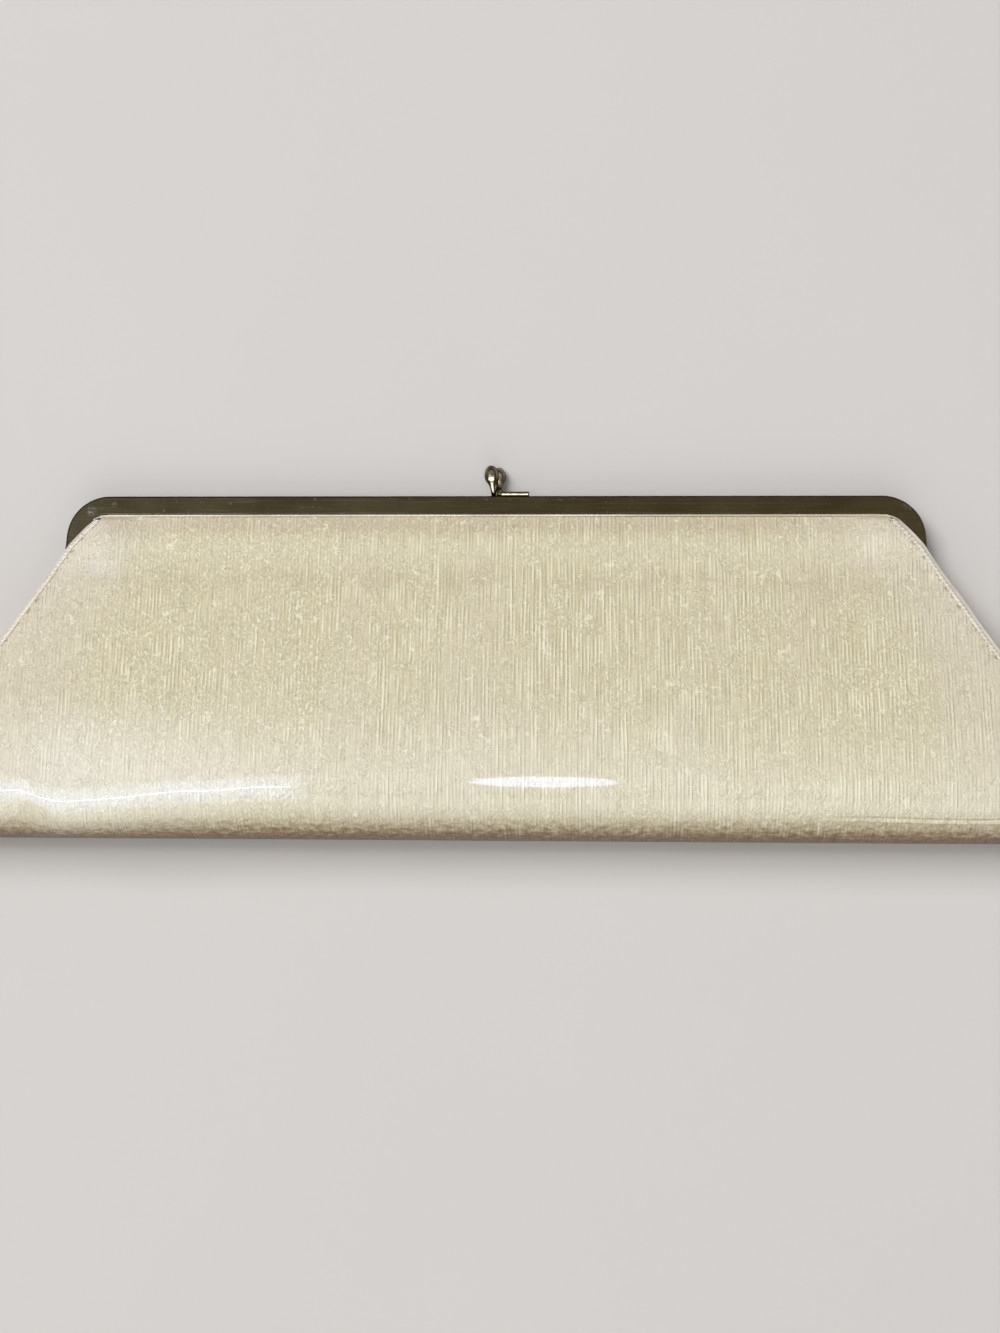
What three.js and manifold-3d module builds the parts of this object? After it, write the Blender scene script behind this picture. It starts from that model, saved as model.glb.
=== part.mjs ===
// Evening clutch: a vinyl-faced cloth body hung in a hinged brass frame with a kiss-lock clasp.
//
// Millimetres, +Z up. The clutch lies on its back panel: +X runs along the frame, +Y from the
// rolled base towards the clasp, +Z from the back panel to the front panel.
// "Drop" is the distance down the clutch from the top edge of the frame, so Y falls as drop grows.

import * as THREE from 'three';
import { mergeVertices } from 'three/addons/utils/BufferGeometryUtils.js';
import Module from 'manifold-3d';

const wasm = await Module();
wasm.setup();

const radians = THREE.MathUtils.degToRad;
const { clamp, lerp, smoothstep } = THREE.MathUtils;

// Body: one cover that runs from the front panel round the base roll to the back panel
const BODY_DROP = 95.7; // top of the frame to the furthest reach of the base roll
const BODY_DEPTH = 30; // over the base roll
const BASE_WIDTH = 324; // over the welts
const SIDE_FLARE = 0.655; // growth of the half width for each millimetre of drop
const COVER_WALL = 1.2; // vinyl, cloth and card together
const COVER_CROWN = 1.2; // swell of the front panel at its middle
const COVER_TOP_DROP = 2.4; // the panels' upper edges, inside the frame's channels
const ROLL_STEPS = 12; // facets of the base roll's half turn
const CORNER_LIFT = 2.4; // how far the front panel's upper corner stands off to pass over the arm
const LIFT_PEAK_DROP = 7.9;
const LIFT_END_DROP = 22.9;

// Half width of the cover from the channel to the straight sides: it follows the inside of the
// frame's corner and then passes over the arm.
const NECK = [
  { drop: COVER_TOP_DROP, halfWidth: 106 },
  { drop: 4.8, halfWidth: 106.6 },
  { drop: 5.6, halfWidth: 109 },
  { drop: 7.1, halfWidth: 110.8 },
  { drop: 9.9, halfWidth: 113.7 },
  { drop: 14.4, halfWidth: 117.9 },
];

// Welts: rolled and overcast edges along the sides, seen as a narrow raised rim
const WELT_HALF_THICK = 0.58;
const WELT_HALF_WIDE = 0.7;
const WELT_GAP = 0.3;
const WELT_SIDES = 8;
const WELT_TOP_DROP = 7.1;

// Gussets: side walls that fold inwards below the hinges
const GUSSET_TOP_DROP = 28.5;
const GUSSET_WALL = 1.4;
const GUSSET_INSET = 0.6;
const GUSSET_GAP = 0.3;
const GUSSET_FOLD = 10;
const GUSSET_FLAT_DROP = 84; // the inward fold has died out here

// Frame: two folded brass channels, front and back, hinged at the ends of their arms. Its pieces
// are set out in the frame's own plane, with height 0 midway between the halves.
const FRAME_TILT = radians(8.3); // the closed frame lies midway between the front and back panels
const FRAME_LIFT = 4.6; // height of the frame's middle over the floor, at its top edge
const BAR_HALF = 108.5; // straight top bar, from its middle to a corner
const CORNER_RADIUS = 12;
const ARM_SPLAY = radians(4);
const ARM_DROP = 21.5; // the channel ends here, and the hinge lug goes on
const LIP_DROP = 5.2; // height of the face that shows
const INNER_LIP_DROP = 4.6;
const SHEET = 0.7; // brass
const TOP_WALL = 0.8;
const EDGE_CHAMFER = 0.5;
const HALF_DEPTH = 3.8; // of one channel
const HALF_GAP = 0.4; // between the closed halves
const CHANNEL_GAP = 0.5; // lip to panel

// Hinges
const HINGE_DROP = 24.5;
const LUG_RADIUS = 2.6;
const LUG_THICK = 0.9;
const LUG_TOP_DROP = 17;
const FRONT_LUG_X = 120.8; // middle of the outboard lug
const BACK_LUG_X = 119.35; // middle of the inboard lug
const PIN_RADIUS = 1;
const PIN_HOLE_RADIUS = 1.3;

// Lip cords: thin piping that closes the gap between each lip and its panel
const CORD_RADIUS = 0.4;
const CORD_GAP = 0.2;
const CORD_CORNER = radians(22); // how far it follows each corner
const CORD_SIDES = 6;

// Clasp
const CLASP_X = 1.5; // the clasp sits this far to the right of the bar's middle
const CLASP_RISE = 9; // top of the ball over the frame
const TENON_RADIUS = 0.45;
const TENON_HOLE_RADIUS = 0.75;
const TAB_START = 1.05;
const TAB_END = 8.8;
const TAB_THICK = 1.1;
const TAB_DEPTH = 3.2;
const SEAT_GAP = 0.3; // clasp pieces stand this far off the frame they are staked to

// Worked-out sizes
const ROLL_RADIUS = BODY_DEPTH / 2;
const ROLL_DROP = BODY_DROP - ROLL_RADIUS;
const FACE = HALF_DEPTH + HALF_GAP / 2; // frame's front face over its middle
const CHANNEL_MIDDLE = FACE - HALF_DEPTH / 2;
const CHANNEL_PANEL = FACE - SHEET - CHANNEL_GAP; // a panel's outer face inside its channel
const FRONT_LIP = inBody(LIP_DROP, CHANNEL_PANEL);
const BACK_LIP = inBody(LIP_DROP, -CHANNEL_PANEL);
const WELT_BAND = WELT_GAP + 2 * WELT_HALF_WIDE;
const BASE_HALF = BASE_WIDTH / 2 - WELT_BAND;
const PANEL_SLOPE = slopeFromLipToRoll();
const TANGENT_DROP = ROLL_DROP - ROLL_RADIUS * Math.sin(PANEL_SLOPE); // front panel meets the roll

// Drop and height in the body's terms of a place given in the frame's own plane.
function inBody(drop, height) {
  const sine = Math.sin(FRAME_TILT);
  const cosine = Math.cos(FRAME_TILT);
  return {
    drop: drop * cosine - height * sine,
    height: FRAME_LIFT + drop * sine + height * cosine,
  };
}

// Angle at which the front panel rises from the frame's lip to meet the base roll without a kink.
function slopeFromLipToRoll() {
  const along = ROLL_DROP - FRONT_LIP.drop;
  const up = ROLL_RADIUS - FRONT_LIP.height;
  const reach = Math.hypot(along, up);
  return Math.atan2(up, along) + Math.asin(ROLL_RADIUS / reach);
}

// Materials
const finish = (color, roughness, metalness) =>
  new THREE.MeshStandardMaterial({ color, roughness, metalness });
const VINYL_CLOTH = finish(0xd4cbaf, 0.2, 0);
const GUSSET_CLOTH = finish(0xcabf9f, 0.4, 0);
const WELT_CLOTH = finish(0xddd4bc, 0.45, 0);
const CORD_COTTON = finish(0xe2d8c0, 0.7, 0);
const AGED_BRASS = finish(0x57503a, 0.35, 1);
const BRIGHT_BRASS = finish(0x8f8769, 0.2, 1);

// Geometry tools

// Turns every triangle of a geometry round if the body is inside out.
function facingOut(geometry) {
  const index = geometry.index.array;
  const corner = [new THREE.Vector3(), new THREE.Vector3(), new THREE.Vector3()];
  let volume = 0;
  for (let i = 0; i < index.length; i += 3) {
    corner.forEach((point, k) => point.fromBufferAttribute(geometry.attributes.position, index[i + k]));
    volume += corner[0].dot(corner[1].cross(corner[2])) / 6;
  }
  if (volume < 0) {
    index.reverse();
  }
  return geometry;
}

// Normal of a nearly flat ring of points, by summing over its edges.
function ringNormal(ring) {
  const sum = new THREE.Vector3();
  ring.forEach((point, i) => {
    const next = ring[(i + 1) % ring.length];
    sum.add(new THREE.Vector3().crossVectors(point, next));
  });
  return sum.normalize();
}

// Triangles that fill a flat ring, as corner numbers of that ring, all turned towards its normal.
function fillRing(ring) {
  const normal = ringNormal(ring);
  const across = ring[1].clone().sub(ring[0]).normalize();
  const up = new THREE.Vector3().crossVectors(normal, across);
  const outline = ring.map((point) => new THREE.Vector2(point.dot(across), point.dot(up)));
  return THREE.ShapeUtils.triangulateShape(outline, []).map(([a, b, c]) => {
    const turn = outline[b].clone().sub(outline[a]).cross(outline[c].clone().sub(outline[a]));
    return turn > 0 ? [a, b, c] : [a, c, b];
  });
}

// Closed body lofted through rings that have equal numbers of points, with a flat cap at each end.
function loft(rings) {
  const count = rings[0].length;
  const index = [];
  for (let r = 0; r < rings.length - 1; r += 1) {
    for (let i = 0; i < count; i += 1) {
      const here = r * count + i;
      const beside = r * count + ((i + 1) % count);
      index.push(here, beside, beside + count, here, beside + count, here + count);
    }
  }
  const last = (rings.length - 1) * count;
  fillRing(rings[0]).forEach(([a, b, c]) => index.push(a, c, b));
  fillRing(rings.at(-1)).forEach(([a, b, c]) => index.push(last + a, last + b, last + c));
  const geometry = new THREE.BufferGeometry().setFromPoints(rings.flat());
  geometry.setIndex(index);
  return facingOut(geometry);
}

// A geometry as a solid that can be joined and cut.
function solidOf(geometry) {
  const bare = geometry.clone();
  bare.deleteAttribute('normal');
  bare.deleteAttribute('uv');
  const merged = mergeVertices(bare);
  const vertProperties = new Float32Array(merged.attributes.position.array);
  const triVerts = new Uint32Array(merged.index.array);
  return new wasm.Manifold(new wasm.Mesh({ numProp: 3, vertProperties, triVerts }));
}

// A solid back as a geometry.
function geometryOf(solid) {
  const { vertProperties, triVerts } = solid.getMesh();
  const geometry = new THREE.BufferGeometry();
  geometry.setAttribute('position', new THREE.BufferAttribute(vertProperties, 3));
  geometry.setIndex(new THREE.BufferAttribute(triVerts, 1));
  return geometry;
}

function pieceOf(name, geometry, material) {
  geometry.computeVertexNormals();
  const mesh = new THREE.Mesh(geometry, material);
  mesh.name = name;
  return mesh;
}

// Round bar along X, and round bar along Y, centred on a point.
function barAlongX(radius, length, centre) {
  const geometry = new THREE.CylinderGeometry(radius, radius, length, 20);
  return solidOf(geometry.rotateZ(Math.PI / 2).translate(centre.x, centre.y, centre.z));
}

function barAlongY(radius, length, centre) {
  const geometry = new THREE.CylinderGeometry(radius, radius, length, 12);
  return solidOf(geometry.translate(centre.x, centre.y, centre.z));
}

// Shape of the body

// Half width of the cover at a drop.
function halfWidth(drop) {
  const last = NECK.at(-1);
  if (drop >= last.drop) {
    return Math.min(last.halfWidth + SIDE_FLARE * (drop - last.drop), BASE_HALF);
  }
  const next = Math.max(1, NECK.findIndex((row) => row.drop >= drop));
  const low = NECK[next - 1];
  const high = NECK[next];
  return lerp(low.halfWidth, high.halfWidth, (drop - low.drop) / (high.drop - low.drop));
}

// 1 at the panels' upper corners, which pass over the frame's arms, and 0 between them.
function cornerShare(x) {
  return smoothstep(Math.abs(x), 105.5, 110.5);
}

// Height that the front panel's upper corner gains, to clear the front arm.
function frontLift(x, drop) {
  const rise = smoothstep(drop, FRONT_LIP.drop, WELT_TOP_DROP);
  const fall = clamp((LIFT_END_DROP - drop) / (LIFT_END_DROP - LIFT_PEAK_DROP), 0, 1);
  return CORNER_LIFT * rise * fall * cornerShare(x);
}

// Heights of the cover's outer face on the front and back panels.
function frontHeight(drop) {
  const past = drop - FRONT_LIP.drop;
  return FRONT_LIP.height + Math.tan(past > 0 ? PANEL_SLOPE : FRAME_TILT) * past;
}

function backHeight(x, drop) {
  const past = drop - BACK_LIP.drop;
  if (past < 0) {
    return BACK_LIP.height + Math.tan(FRAME_TILT) * past;
  }
  const middle = 1 - smoothstep(past, 0, 6.5);
  const corner = 1 - smoothstep(past, 0, 2.3);
  return BACK_LIP.height * lerp(middle, corner, cornerShare(x));
}

// Swell of the front panel, none at its edges.
function crown(x, drop) {
  const along = clamp((drop - FRONT_LIP.drop) / (TANGENT_DROP - FRONT_LIP.drop), 0, 1);
  const across = x / halfWidth(drop);
  return COVER_CROWN * Math.sin(Math.PI * along) * (1 - across * across);
}

// Stations round the cover, from the front channel over the base roll to the back channel.
// Each gives its drop, and the height of the outer face there as a function of x.
function coverStations() {
  const panel = [22, 32, 44, 56, 67];
  const frontDrops = [COVER_TOP_DROP, FRONT_LIP.drop, 5.6, 6.4, 7.1, 8.4, 9.9, 12, 14.4, 18, ...panel];
  const backDrops = [COVER_TOP_DROP, BACK_LIP.drop, 6, 6.5, 7.1, 7.8, 8.8, 9.9, 11.9, 14.4, ...panel];
  const front = frontDrops.map((drop) => ({
    drop,
    height: (x) => frontHeight(drop) + frontLift(x, drop) + crown(x, drop),
  }));
  const halfTurn = Array.from({ length: ROLL_STEPS + 1 }, (_, k) => (Math.PI * k) / ROLL_STEPS);
  const roll = [-PANEL_SLOPE, -PANEL_SLOPE / 2, ...halfTurn].map((angle) => ({
    drop: ROLL_DROP + ROLL_RADIUS * Math.sin(angle),
    height: () => ROLL_RADIUS * (1 + Math.cos(angle)),
  }));
  const back = backDrops.toReversed().map((drop) => ({
    drop,
    height: (x) => backHeight(x, drop),
  }));
  return [...front, ...roll, ...back];
}

// Unit vector out of the cover at a station, square to the section's outline.
function outwardAt(stations, k) {
  const before = stations[Math.max(0, k - 1)];
  const after = stations[Math.min(stations.length - 1, k + 1)];
  const dropStep = after.drop - before.drop;
  const heightStep = after.height(0) - before.height(0);
  return new THREE.Vector3(0, heightStep, dropStep).normalize();
}

const STATIONS = coverStations();
const OUTWARD = STATIONS.map((_, k) => outwardAt(STATIONS, k));

// Point of the cover's outer face.
function coverPoint(k, x) {
  const station = STATIONS[k];
  return new THREE.Vector3(x, -station.drop, station.height(x));
}

function makeCover() {
  const half = [0.25, 0.5, 0.75, 0.88, 0.93, 0.96, 0.985, 1];
  const shares = [...half.toReversed().map((share) => -share), 0, ...half];
  const rings = STATIONS.map((station, k) => {
    const outer = shares.map((share) => coverPoint(k, share * halfWidth(station.drop)));
    const inner = outer.map((point) => point.clone().addScaledVector(OUTWARD[k], -COVER_WALL));
    return [...outer, ...inner.reverse()];
  });
  return pieceOf('cover', loft(rings), VINYL_CLOTH);
}

// Rim along one side of the cover, from the front corner round the base roll to the back corner.
function makeWelt(name, side) {
  const kept = STATIONS.map((_, k) => k).filter((k) => STATIONS[k].drop >= WELT_TOP_DROP);
  const edge = (k) =>
    coverPoint(k, side * halfWidth(STATIONS[k].drop)).addScaledVector(OUTWARD[k], -COVER_WALL / 2);
  const rings = kept.map((k, place) => {
    const before = edge(kept[Math.max(0, place - 1)]);
    const after = edge(kept[Math.min(kept.length - 1, place + 1)]);
    const along = after.sub(before).normalize();
    const aside = new THREE.Vector3().crossVectors(along, OUTWARD[k]).normalize();
    aside.multiplyScalar(Math.sign(aside.x) * side);
    const centre = edge(k).addScaledVector(aside, WELT_GAP + WELT_HALF_WIDE);
    return Array.from({ length: WELT_SIDES }, (_, i) => {
      const angle = (2 * Math.PI * i) / WELT_SIDES;
      return centre
        .clone()
        .addScaledVector(aside, WELT_HALF_WIDE * Math.cos(angle))
        .addScaledVector(OUTWARD[k], WELT_HALF_THICK * Math.sin(angle));
    });
  });
  return pieceOf(name, loft(rings), WELT_CLOTH);
}

// Heights of the cover's inner face at the sides, front and back.
function innerHeights(drop) {
  const radius = ROLL_RADIUS - COVER_WALL;
  const reach = Math.sqrt(Math.max(0, radius * radius - (drop - ROLL_DROP) ** 2));
  const flat = frontHeight(drop) - COVER_WALL / Math.cos(PANEL_SLOPE);
  return {
    front: drop < TANGENT_DROP ? flat : ROLL_RADIUS + reach,
    back: drop < ROLL_DROP ? COVER_WALL : ROLL_RADIUS - reach,
  };
}

// Side wall, creased inwards along its middle, from below the hinge to the base roll.
function makeGusset(name, side) {
  const drops = [GUSSET_TOP_DROP, 34, 42, 50, 58, 66, 74, 81, 86, 89.7, 92.2, 93.7];
  const shares = [0, 0.2, 0.4, 0.5, 0.6, 0.8, 1];
  const rings = drops.map((drop) => {
    const { front, back } = innerHeights(drop);
    const fold = GUSSET_FOLD * (1 - smoothstep(drop, GUSSET_TOP_DROP, GUSSET_FLAT_DROP));
    const outer = shares.map((share) => {
      const foldShare = 1 - Math.abs(2 * share - 1) ** 1.4;
      const x = halfWidth(drop) - GUSSET_INSET - fold * foldShare;
      const height = lerp(front - GUSSET_GAP, back + GUSSET_GAP, share);
      return new THREE.Vector3(side * x, -drop, height);
    });
    const inner = outer.map((point) => point.clone().setX(point.x - side * GUSSET_WALL));
    return [...outer, ...inner.reverse()];
  });
  return pieceOf(name, loft(rings), GUSSET_CLOTH);
}

// Frame

// Places along a frame half's outer edge, from one arm's end over the bar to the other's, with the
// direction across the face towards the body.
function framePath() {
  const steps = 7;
  const sweep = Math.PI / 2 - ARM_SPLAY;
  const corner = Array.from({ length: steps + 1 }, (_, k) => {
    const angle = (sweep * k) / steps;
    return {
      x: BAR_HALF + CORNER_RADIUS * Math.sin(angle),
      drop: CORNER_RADIUS * (1 - Math.cos(angle)),
      inX: -Math.sin(angle),
      inDrop: Math.cos(angle),
    };
  });
  const foot = corner.at(-1);
  const armX = foot.x + Math.tan(ARM_SPLAY) * (ARM_DROP - foot.drop);
  const right = [...corner, { ...foot, x: armX, drop: ARM_DROP }];
  const left = right.toReversed().map((place) => ({ ...place, x: -place.x, inX: -place.inX }));
  return [...left, ...right];
}

// Channel section of the front half: distance in from the outer edge, and height.
function channelSection() {
  const inside = HALF_GAP / 2;
  return [
    { across: 0, height: FACE - EDGE_CHAMFER },
    { across: EDGE_CHAMFER, height: FACE },
    { across: LIP_DROP - EDGE_CHAMFER / 2, height: FACE },
    { across: LIP_DROP, height: FACE - EDGE_CHAMFER / 2 },
    { across: LIP_DROP, height: FACE - SHEET },
    { across: TOP_WALL, height: FACE - SHEET },
    { across: TOP_WALL, height: inside + SHEET },
    { across: INNER_LIP_DROP, height: inside + SHEET },
    { across: INNER_LIP_DROP, height: inside },
    { across: 0, height: inside },
  ];
}

// Flat lug that carries a channel past its end to the hinge pin.
function lugAt(x, plateHeight) {
  const length = HINGE_DROP - LUG_TOP_DROP;
  const plate = new THREE.BoxGeometry(LUG_THICK, length, HALF_DEPTH - 2 * EDGE_CHAMFER);
  plate.translate(x, -(LUG_TOP_DROP + length / 2), plateHeight);
  const eye = new THREE.Vector3(x, -HINGE_DROP, 0);
  return solidOf(plate).add(barAlongX(LUG_RADIUS, LUG_THICK, eye));
}

// One half of the frame: half is 1 for the front and -1 for the back. The clasp's tenons pass
// through holes in its top wall.
function makeFrameHalf(name, { half, lugX, tenons }) {
  const section = channelSection();
  const rings = framePath().map((place) =>
    section.map(({ across, height }) => {
      const drop = place.drop + across * place.inDrop;
      return new THREE.Vector3(place.x + across * place.inX, -drop, half * height);
    }),
  );
  let solid = solidOf(loft(rings));
  for (const side of [-1, 1]) {
    const eye = new THREE.Vector3(side * lugX, -HINGE_DROP, 0);
    solid = solid.add(lugAt(side * lugX, half * CHANNEL_MIDDLE));
    solid = solid.subtract(barAlongX(PIN_HOLE_RADIUS, 2 * LUG_THICK, eye));
  }
  for (const x of tenons) {
    const centre = new THREE.Vector3(x, -TOP_WALL / 2, half * CHANNEL_MIDDLE);
    solid = solid.subtract(barAlongY(TENON_HOLE_RADIUS, 2 * TOP_WALL, centre));
  }
  return pieceOf(name, geometryOf(solid), AGED_BRASS);
}

// Rivet through the two lugs of one hinge, with a flat head inboard and a domed head outboard.
function makeHingePin(name, side) {
  const shankEnd = FRONT_LUG_X + LUG_THICK / 2 + SEAT_GAP;
  const headStart = BACK_LUG_X - LUG_THICK / 2 - SEAT_GAP - 0.5;
  const length = shankEnd - headStart;
  const profile = [
    [0, 0],
    [1.7, 0],
    [1.7, 0.5],
    [PIN_RADIUS, 0.5],
    [PIN_RADIUS, length],
    [2, length],
    [1.8, length + 0.45],
    [1.1, length + 0.8],
    [0, length + 0.95],
  ].map(([radius, along]) => new THREE.Vector2(radius, along));
  const pin = pieceOf(name, new THREE.LatheGeometry(profile, 16), BRIGHT_BRASS);
  pin.rotation.z = (-side * Math.PI) / 2;
  pin.position.set(side * headStart, -HINGE_DROP, 0);
  return pin;
}

// Thin piping along a lip, from corner to corner, lying on the panel: half is 1 for the front and
// -1 for the back.
function makeLipCord(name, half, faceHeight) {
  const stand = CORD_RADIUS + CORD_GAP;
  const steps = 4;
  const right = Array.from({ length: steps + 1 }, (_, k) => {
    const angle = (CORD_CORNER * k) / steps;
    const radius = CORNER_RADIUS - LIP_DROP - stand;
    return {
      x: BAR_HALF + radius * Math.sin(angle),
      drop: inBody(CORNER_RADIUS - radius * Math.cos(angle), half * (CHANNEL_PANEL + stand)).drop,
      inX: -Math.sin(angle),
      inDrop: Math.cos(angle),
    };
  });
  const left = right.toReversed().map((place) => ({ ...place, x: -place.x, inX: -place.inX }));
  const rings = [...left, ...right].map((place) => {
    const height = faceHeight(place.x, place.drop) + half * stand;
    return Array.from({ length: CORD_SIDES }, (_, i) => {
      const angle = (2 * Math.PI * i) / CORD_SIDES;
      const across = CORD_RADIUS * Math.cos(angle);
      const drop = place.drop + across * place.inDrop;
      const up = height + CORD_RADIUS * Math.sin(angle);
      return new THREE.Vector3(place.x + across * place.inX, -drop, up);
    });
  });
  return pieceOf(name, loft(rings), CORD_COTTON);
}

// Clasp

// Ball, stem and staked tenon: circles level with the frame's top, from the tenon's foot upwards.
const BALL_STEM = [
  { rise: -1.55, x: -1.2, height: -CHANNEL_MIDDLE, radius: 0.85 },
  { rise: -1.1, x: -1.2, height: -CHANNEL_MIDDLE, radius: 0.85 },
  { rise: -1.1, x: -1.2, height: -CHANNEL_MIDDLE, radius: TENON_RADIUS },
  { rise: SEAT_GAP, x: -1.2, height: -CHANNEL_MIDDLE, radius: TENON_RADIUS },
  { rise: SEAT_GAP, x: -1.2, height: -CHANNEL_MIDDLE, radius: 1 },
  { rise: 0.7, x: -1.22, height: -1.6, radius: 0.85 },
  { rise: 1, x: -1.25, height: -0.9, radius: 0.7 },
  { rise: 1.5, x: -1.35, height: 0.1, radius: 0.66 },
  { rise: 2.1, x: -1.45, height: 0.75, radius: 0.64 },
  { rise: 3.1, x: -1.65, height: 1.35, radius: 0.68 },
  { rise: 3.8, x: -1.8, height: 1.65, radius: 1 },
  { rise: 4.8, x: -1.85, height: 1.9, radius: 1.55 },
  { rise: 6.1, x: -1.85, height: 2, radius: 1.8 },
  { rise: 7.4, x: -1.85, height: 2, radius: 1.55 },
  { rise: 8.4, x: -1.85, height: 2, radius: 0.95 },
  { rise: CLASP_RISE, x: -1.85, height: 2, radius: 0.3 },
];

// Second ball, which catches behind the first: circles again, its neck growing out of the tab.
const CATCH_STEM = [
  { rise: 0.6, x: 1.6, height: 2, radius: 0.8 },
  { rise: 1.5, x: 1.5, height: 1.7, radius: 0.75 },
  { rise: 2.6, x: 1.2, height: 0.7, radius: 0.62 },
  { rise: 3.4, x: 0.95, height: -0.2, radius: 0.75 },
  { rise: 4.2, x: 0.8, height: -0.8, radius: 1.15 },
  { rise: 5.2, x: 0.7, height: -1, radius: 1.6 },
  { rise: 6.25, x: 0.65, height: -1.05, radius: 1.75 },
  { rise: 7.4, x: 0.65, height: -1.05, radius: 1.5 },
  { rise: 8.25, x: 0.65, height: -1.05, radius: 0.9 },
  { rise: 8.7, x: 0.65, height: -1.05, radius: 0.3 },
];

// Section of the tab: rise over the frame, and height. Its front is creased along the middle.
const TAB_SECTION = [
  { rise: SEAT_GAP, height: FACE - TAB_DEPTH },
  { rise: SEAT_GAP, height: FACE - 0.05 },
  { rise: SEAT_GAP + TAB_THICK / 2, height: FACE },
  { rise: SEAT_GAP + TAB_THICK, height: FACE - 0.45 },
  { rise: SEAT_GAP + TAB_THICK, height: FACE - TAB_DEPTH },
];
const TAB_TENONS = [3.4, 7.2];

// Body of circles, each level with the frame's top.
function turned(rows) {
  const sides = 14;
  const rings = rows.map(({ rise, x, height, radius }) =>
    Array.from({ length: sides }, (_, i) => {
      const angle = (2 * Math.PI * i) / sides;
      return new THREE.Vector3(x + radius * Math.cos(angle), rise, height + radius * Math.sin(angle));
    }),
  );
  return loft(rings);
}

function makeBall() {
  return pieceOf('clasp_ball', turned(BALL_STEM), BRIGHT_BRASS);
}

function makeCatch() {
  const ends = [TAB_START, TAB_END];
  const tab = loft(
    ends.map((x) => TAB_SECTION.map(({ rise, height }) => new THREE.Vector3(x, rise, height))),
  );
  let solid = solidOf(tab).add(solidOf(turned(CATCH_STEM)));
  for (const x of TAB_TENONS) {
    const shank = new THREE.Vector3(x, -0.3, CHANNEL_MIDDLE);
    const head = new THREE.Vector3(x, -1.3, CHANNEL_MIDDLE);
    solid = solid.add(barAlongY(TENON_RADIUS, 2, shank)).add(barAlongY(0.85, 0.4, head));
  }
  return pieceOf('clasp_catch', geometryOf(solid), BRIGHT_BRASS);
}

// Assembly
const body = new THREE.Group();
body.add(makeCover());
body.add(makeWelt('side_welt_left', -1), makeWelt('side_welt_right', 1));
body.add(makeGusset('gusset_left', -1), makeGusset('gusset_right', 1));
body.add(
  makeLipCord('lip_cord_front', 1, (x, drop) => frontHeight(drop) + frontLift(x, drop)),
  makeLipCord('lip_cord_back', -1, backHeight),
);

const clasp = new THREE.Group();
clasp.position.x = CLASP_X;
clasp.add(makeBall(), makeCatch());

const frame = new THREE.Group();
frame.add(
  makeFrameHalf('frame_front', { half: 1, lugX: FRONT_LUG_X, tenons: TAB_TENONS.map((x) => x + CLASP_X) }),
  makeFrameHalf('frame_back', { half: -1, lugX: BACK_LUG_X, tenons: [BALL_STEM[0].x + CLASP_X] }),
);
frame.add(makeHingePin('hinge_pin_left', -1), makeHingePin('hinge_pin_right', 1));
frame.add(clasp);
frame.rotation.x = -FRAME_TILT;
frame.position.z = FRAME_LIFT;

const clutch = new THREE.Group();
clutch.add(body, frame);

// The origin is on the floor under the middle of the whole clutch.
const middle = new THREE.Box3().setFromObject(clutch, true).getCenter(new THREE.Vector3());
clutch.position.y = -middle.y;

const part = new THREE.Group();
part.name = 'evening_clutch';
part.add(clutch);

export default part;
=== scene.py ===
"""Evening clutch of vinyl-faced slub cloth in a hinged brass frame, lying on its back panel.

Sizes in the pieces' classes are millimetres; finishes, lamps and camera are in metres. Meshes are made in
metres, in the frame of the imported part. "Drop" is the distance down the clutch from the top of its frame.
"""

import logging
import math
from dataclasses import dataclass
from enum import Enum
from typing import Sequence

import bmesh
import bpy
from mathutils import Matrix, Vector, noise

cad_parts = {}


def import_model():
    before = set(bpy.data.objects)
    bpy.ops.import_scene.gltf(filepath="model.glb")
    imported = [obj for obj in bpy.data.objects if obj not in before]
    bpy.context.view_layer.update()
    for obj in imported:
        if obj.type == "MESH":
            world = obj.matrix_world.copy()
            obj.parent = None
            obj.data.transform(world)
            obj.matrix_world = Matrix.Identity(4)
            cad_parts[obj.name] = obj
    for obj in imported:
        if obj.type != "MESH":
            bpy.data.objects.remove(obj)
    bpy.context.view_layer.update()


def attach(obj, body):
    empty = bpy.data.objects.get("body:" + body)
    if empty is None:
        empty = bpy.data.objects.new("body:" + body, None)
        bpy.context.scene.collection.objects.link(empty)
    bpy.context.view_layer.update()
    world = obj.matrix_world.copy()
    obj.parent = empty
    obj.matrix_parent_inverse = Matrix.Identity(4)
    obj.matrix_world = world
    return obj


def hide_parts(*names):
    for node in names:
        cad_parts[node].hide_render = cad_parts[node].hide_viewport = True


LOG = logging.getLogger("evening_clutch")
MM = 0.001
BODY = "root"
SMOOTH_ANGLE = math.radians(42)
CLASP_BALL = "clasp_ball_brass"
CLASP_CATCH = "clasp_catch_brass"
CLASP_TAB = "clasp_tab_brass"
FRONT_CHANNEL = "frame_channel_front"

Colour = tuple[float, float, float]
Place = tuple[float, float, float]
Span = tuple[float, float]
Ramp = tuple[float, float, float, float]
Circle = tuple[float, float, float, float]
PathPlace = tuple[float, float, float, float]
Spot = tuple[Vector, float]
Ring = list[Vector]
Socket = bpy.types.NodeSocket
Amount = float | Socket
Paint = Colour | Socket
Feeds = Sequence[tuple[str | int, Paint | Amount]]


class Side(Enum):
    """Left or right end of the clutch, as a sign along X."""

    LEFT = -1
    RIGHT = 1

    @property
    def word(self) -> str:
        """Name of the side in lower case."""
        return self.name.lower()


class Half(Enum):
    """Front or back half of the frame, as a sign of height in the frame's own plane."""

    FRONT = 1
    BACK = -1

    @property
    def word(self) -> str:
        """Name of the half in lower case."""
        return self.name.lower()


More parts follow.
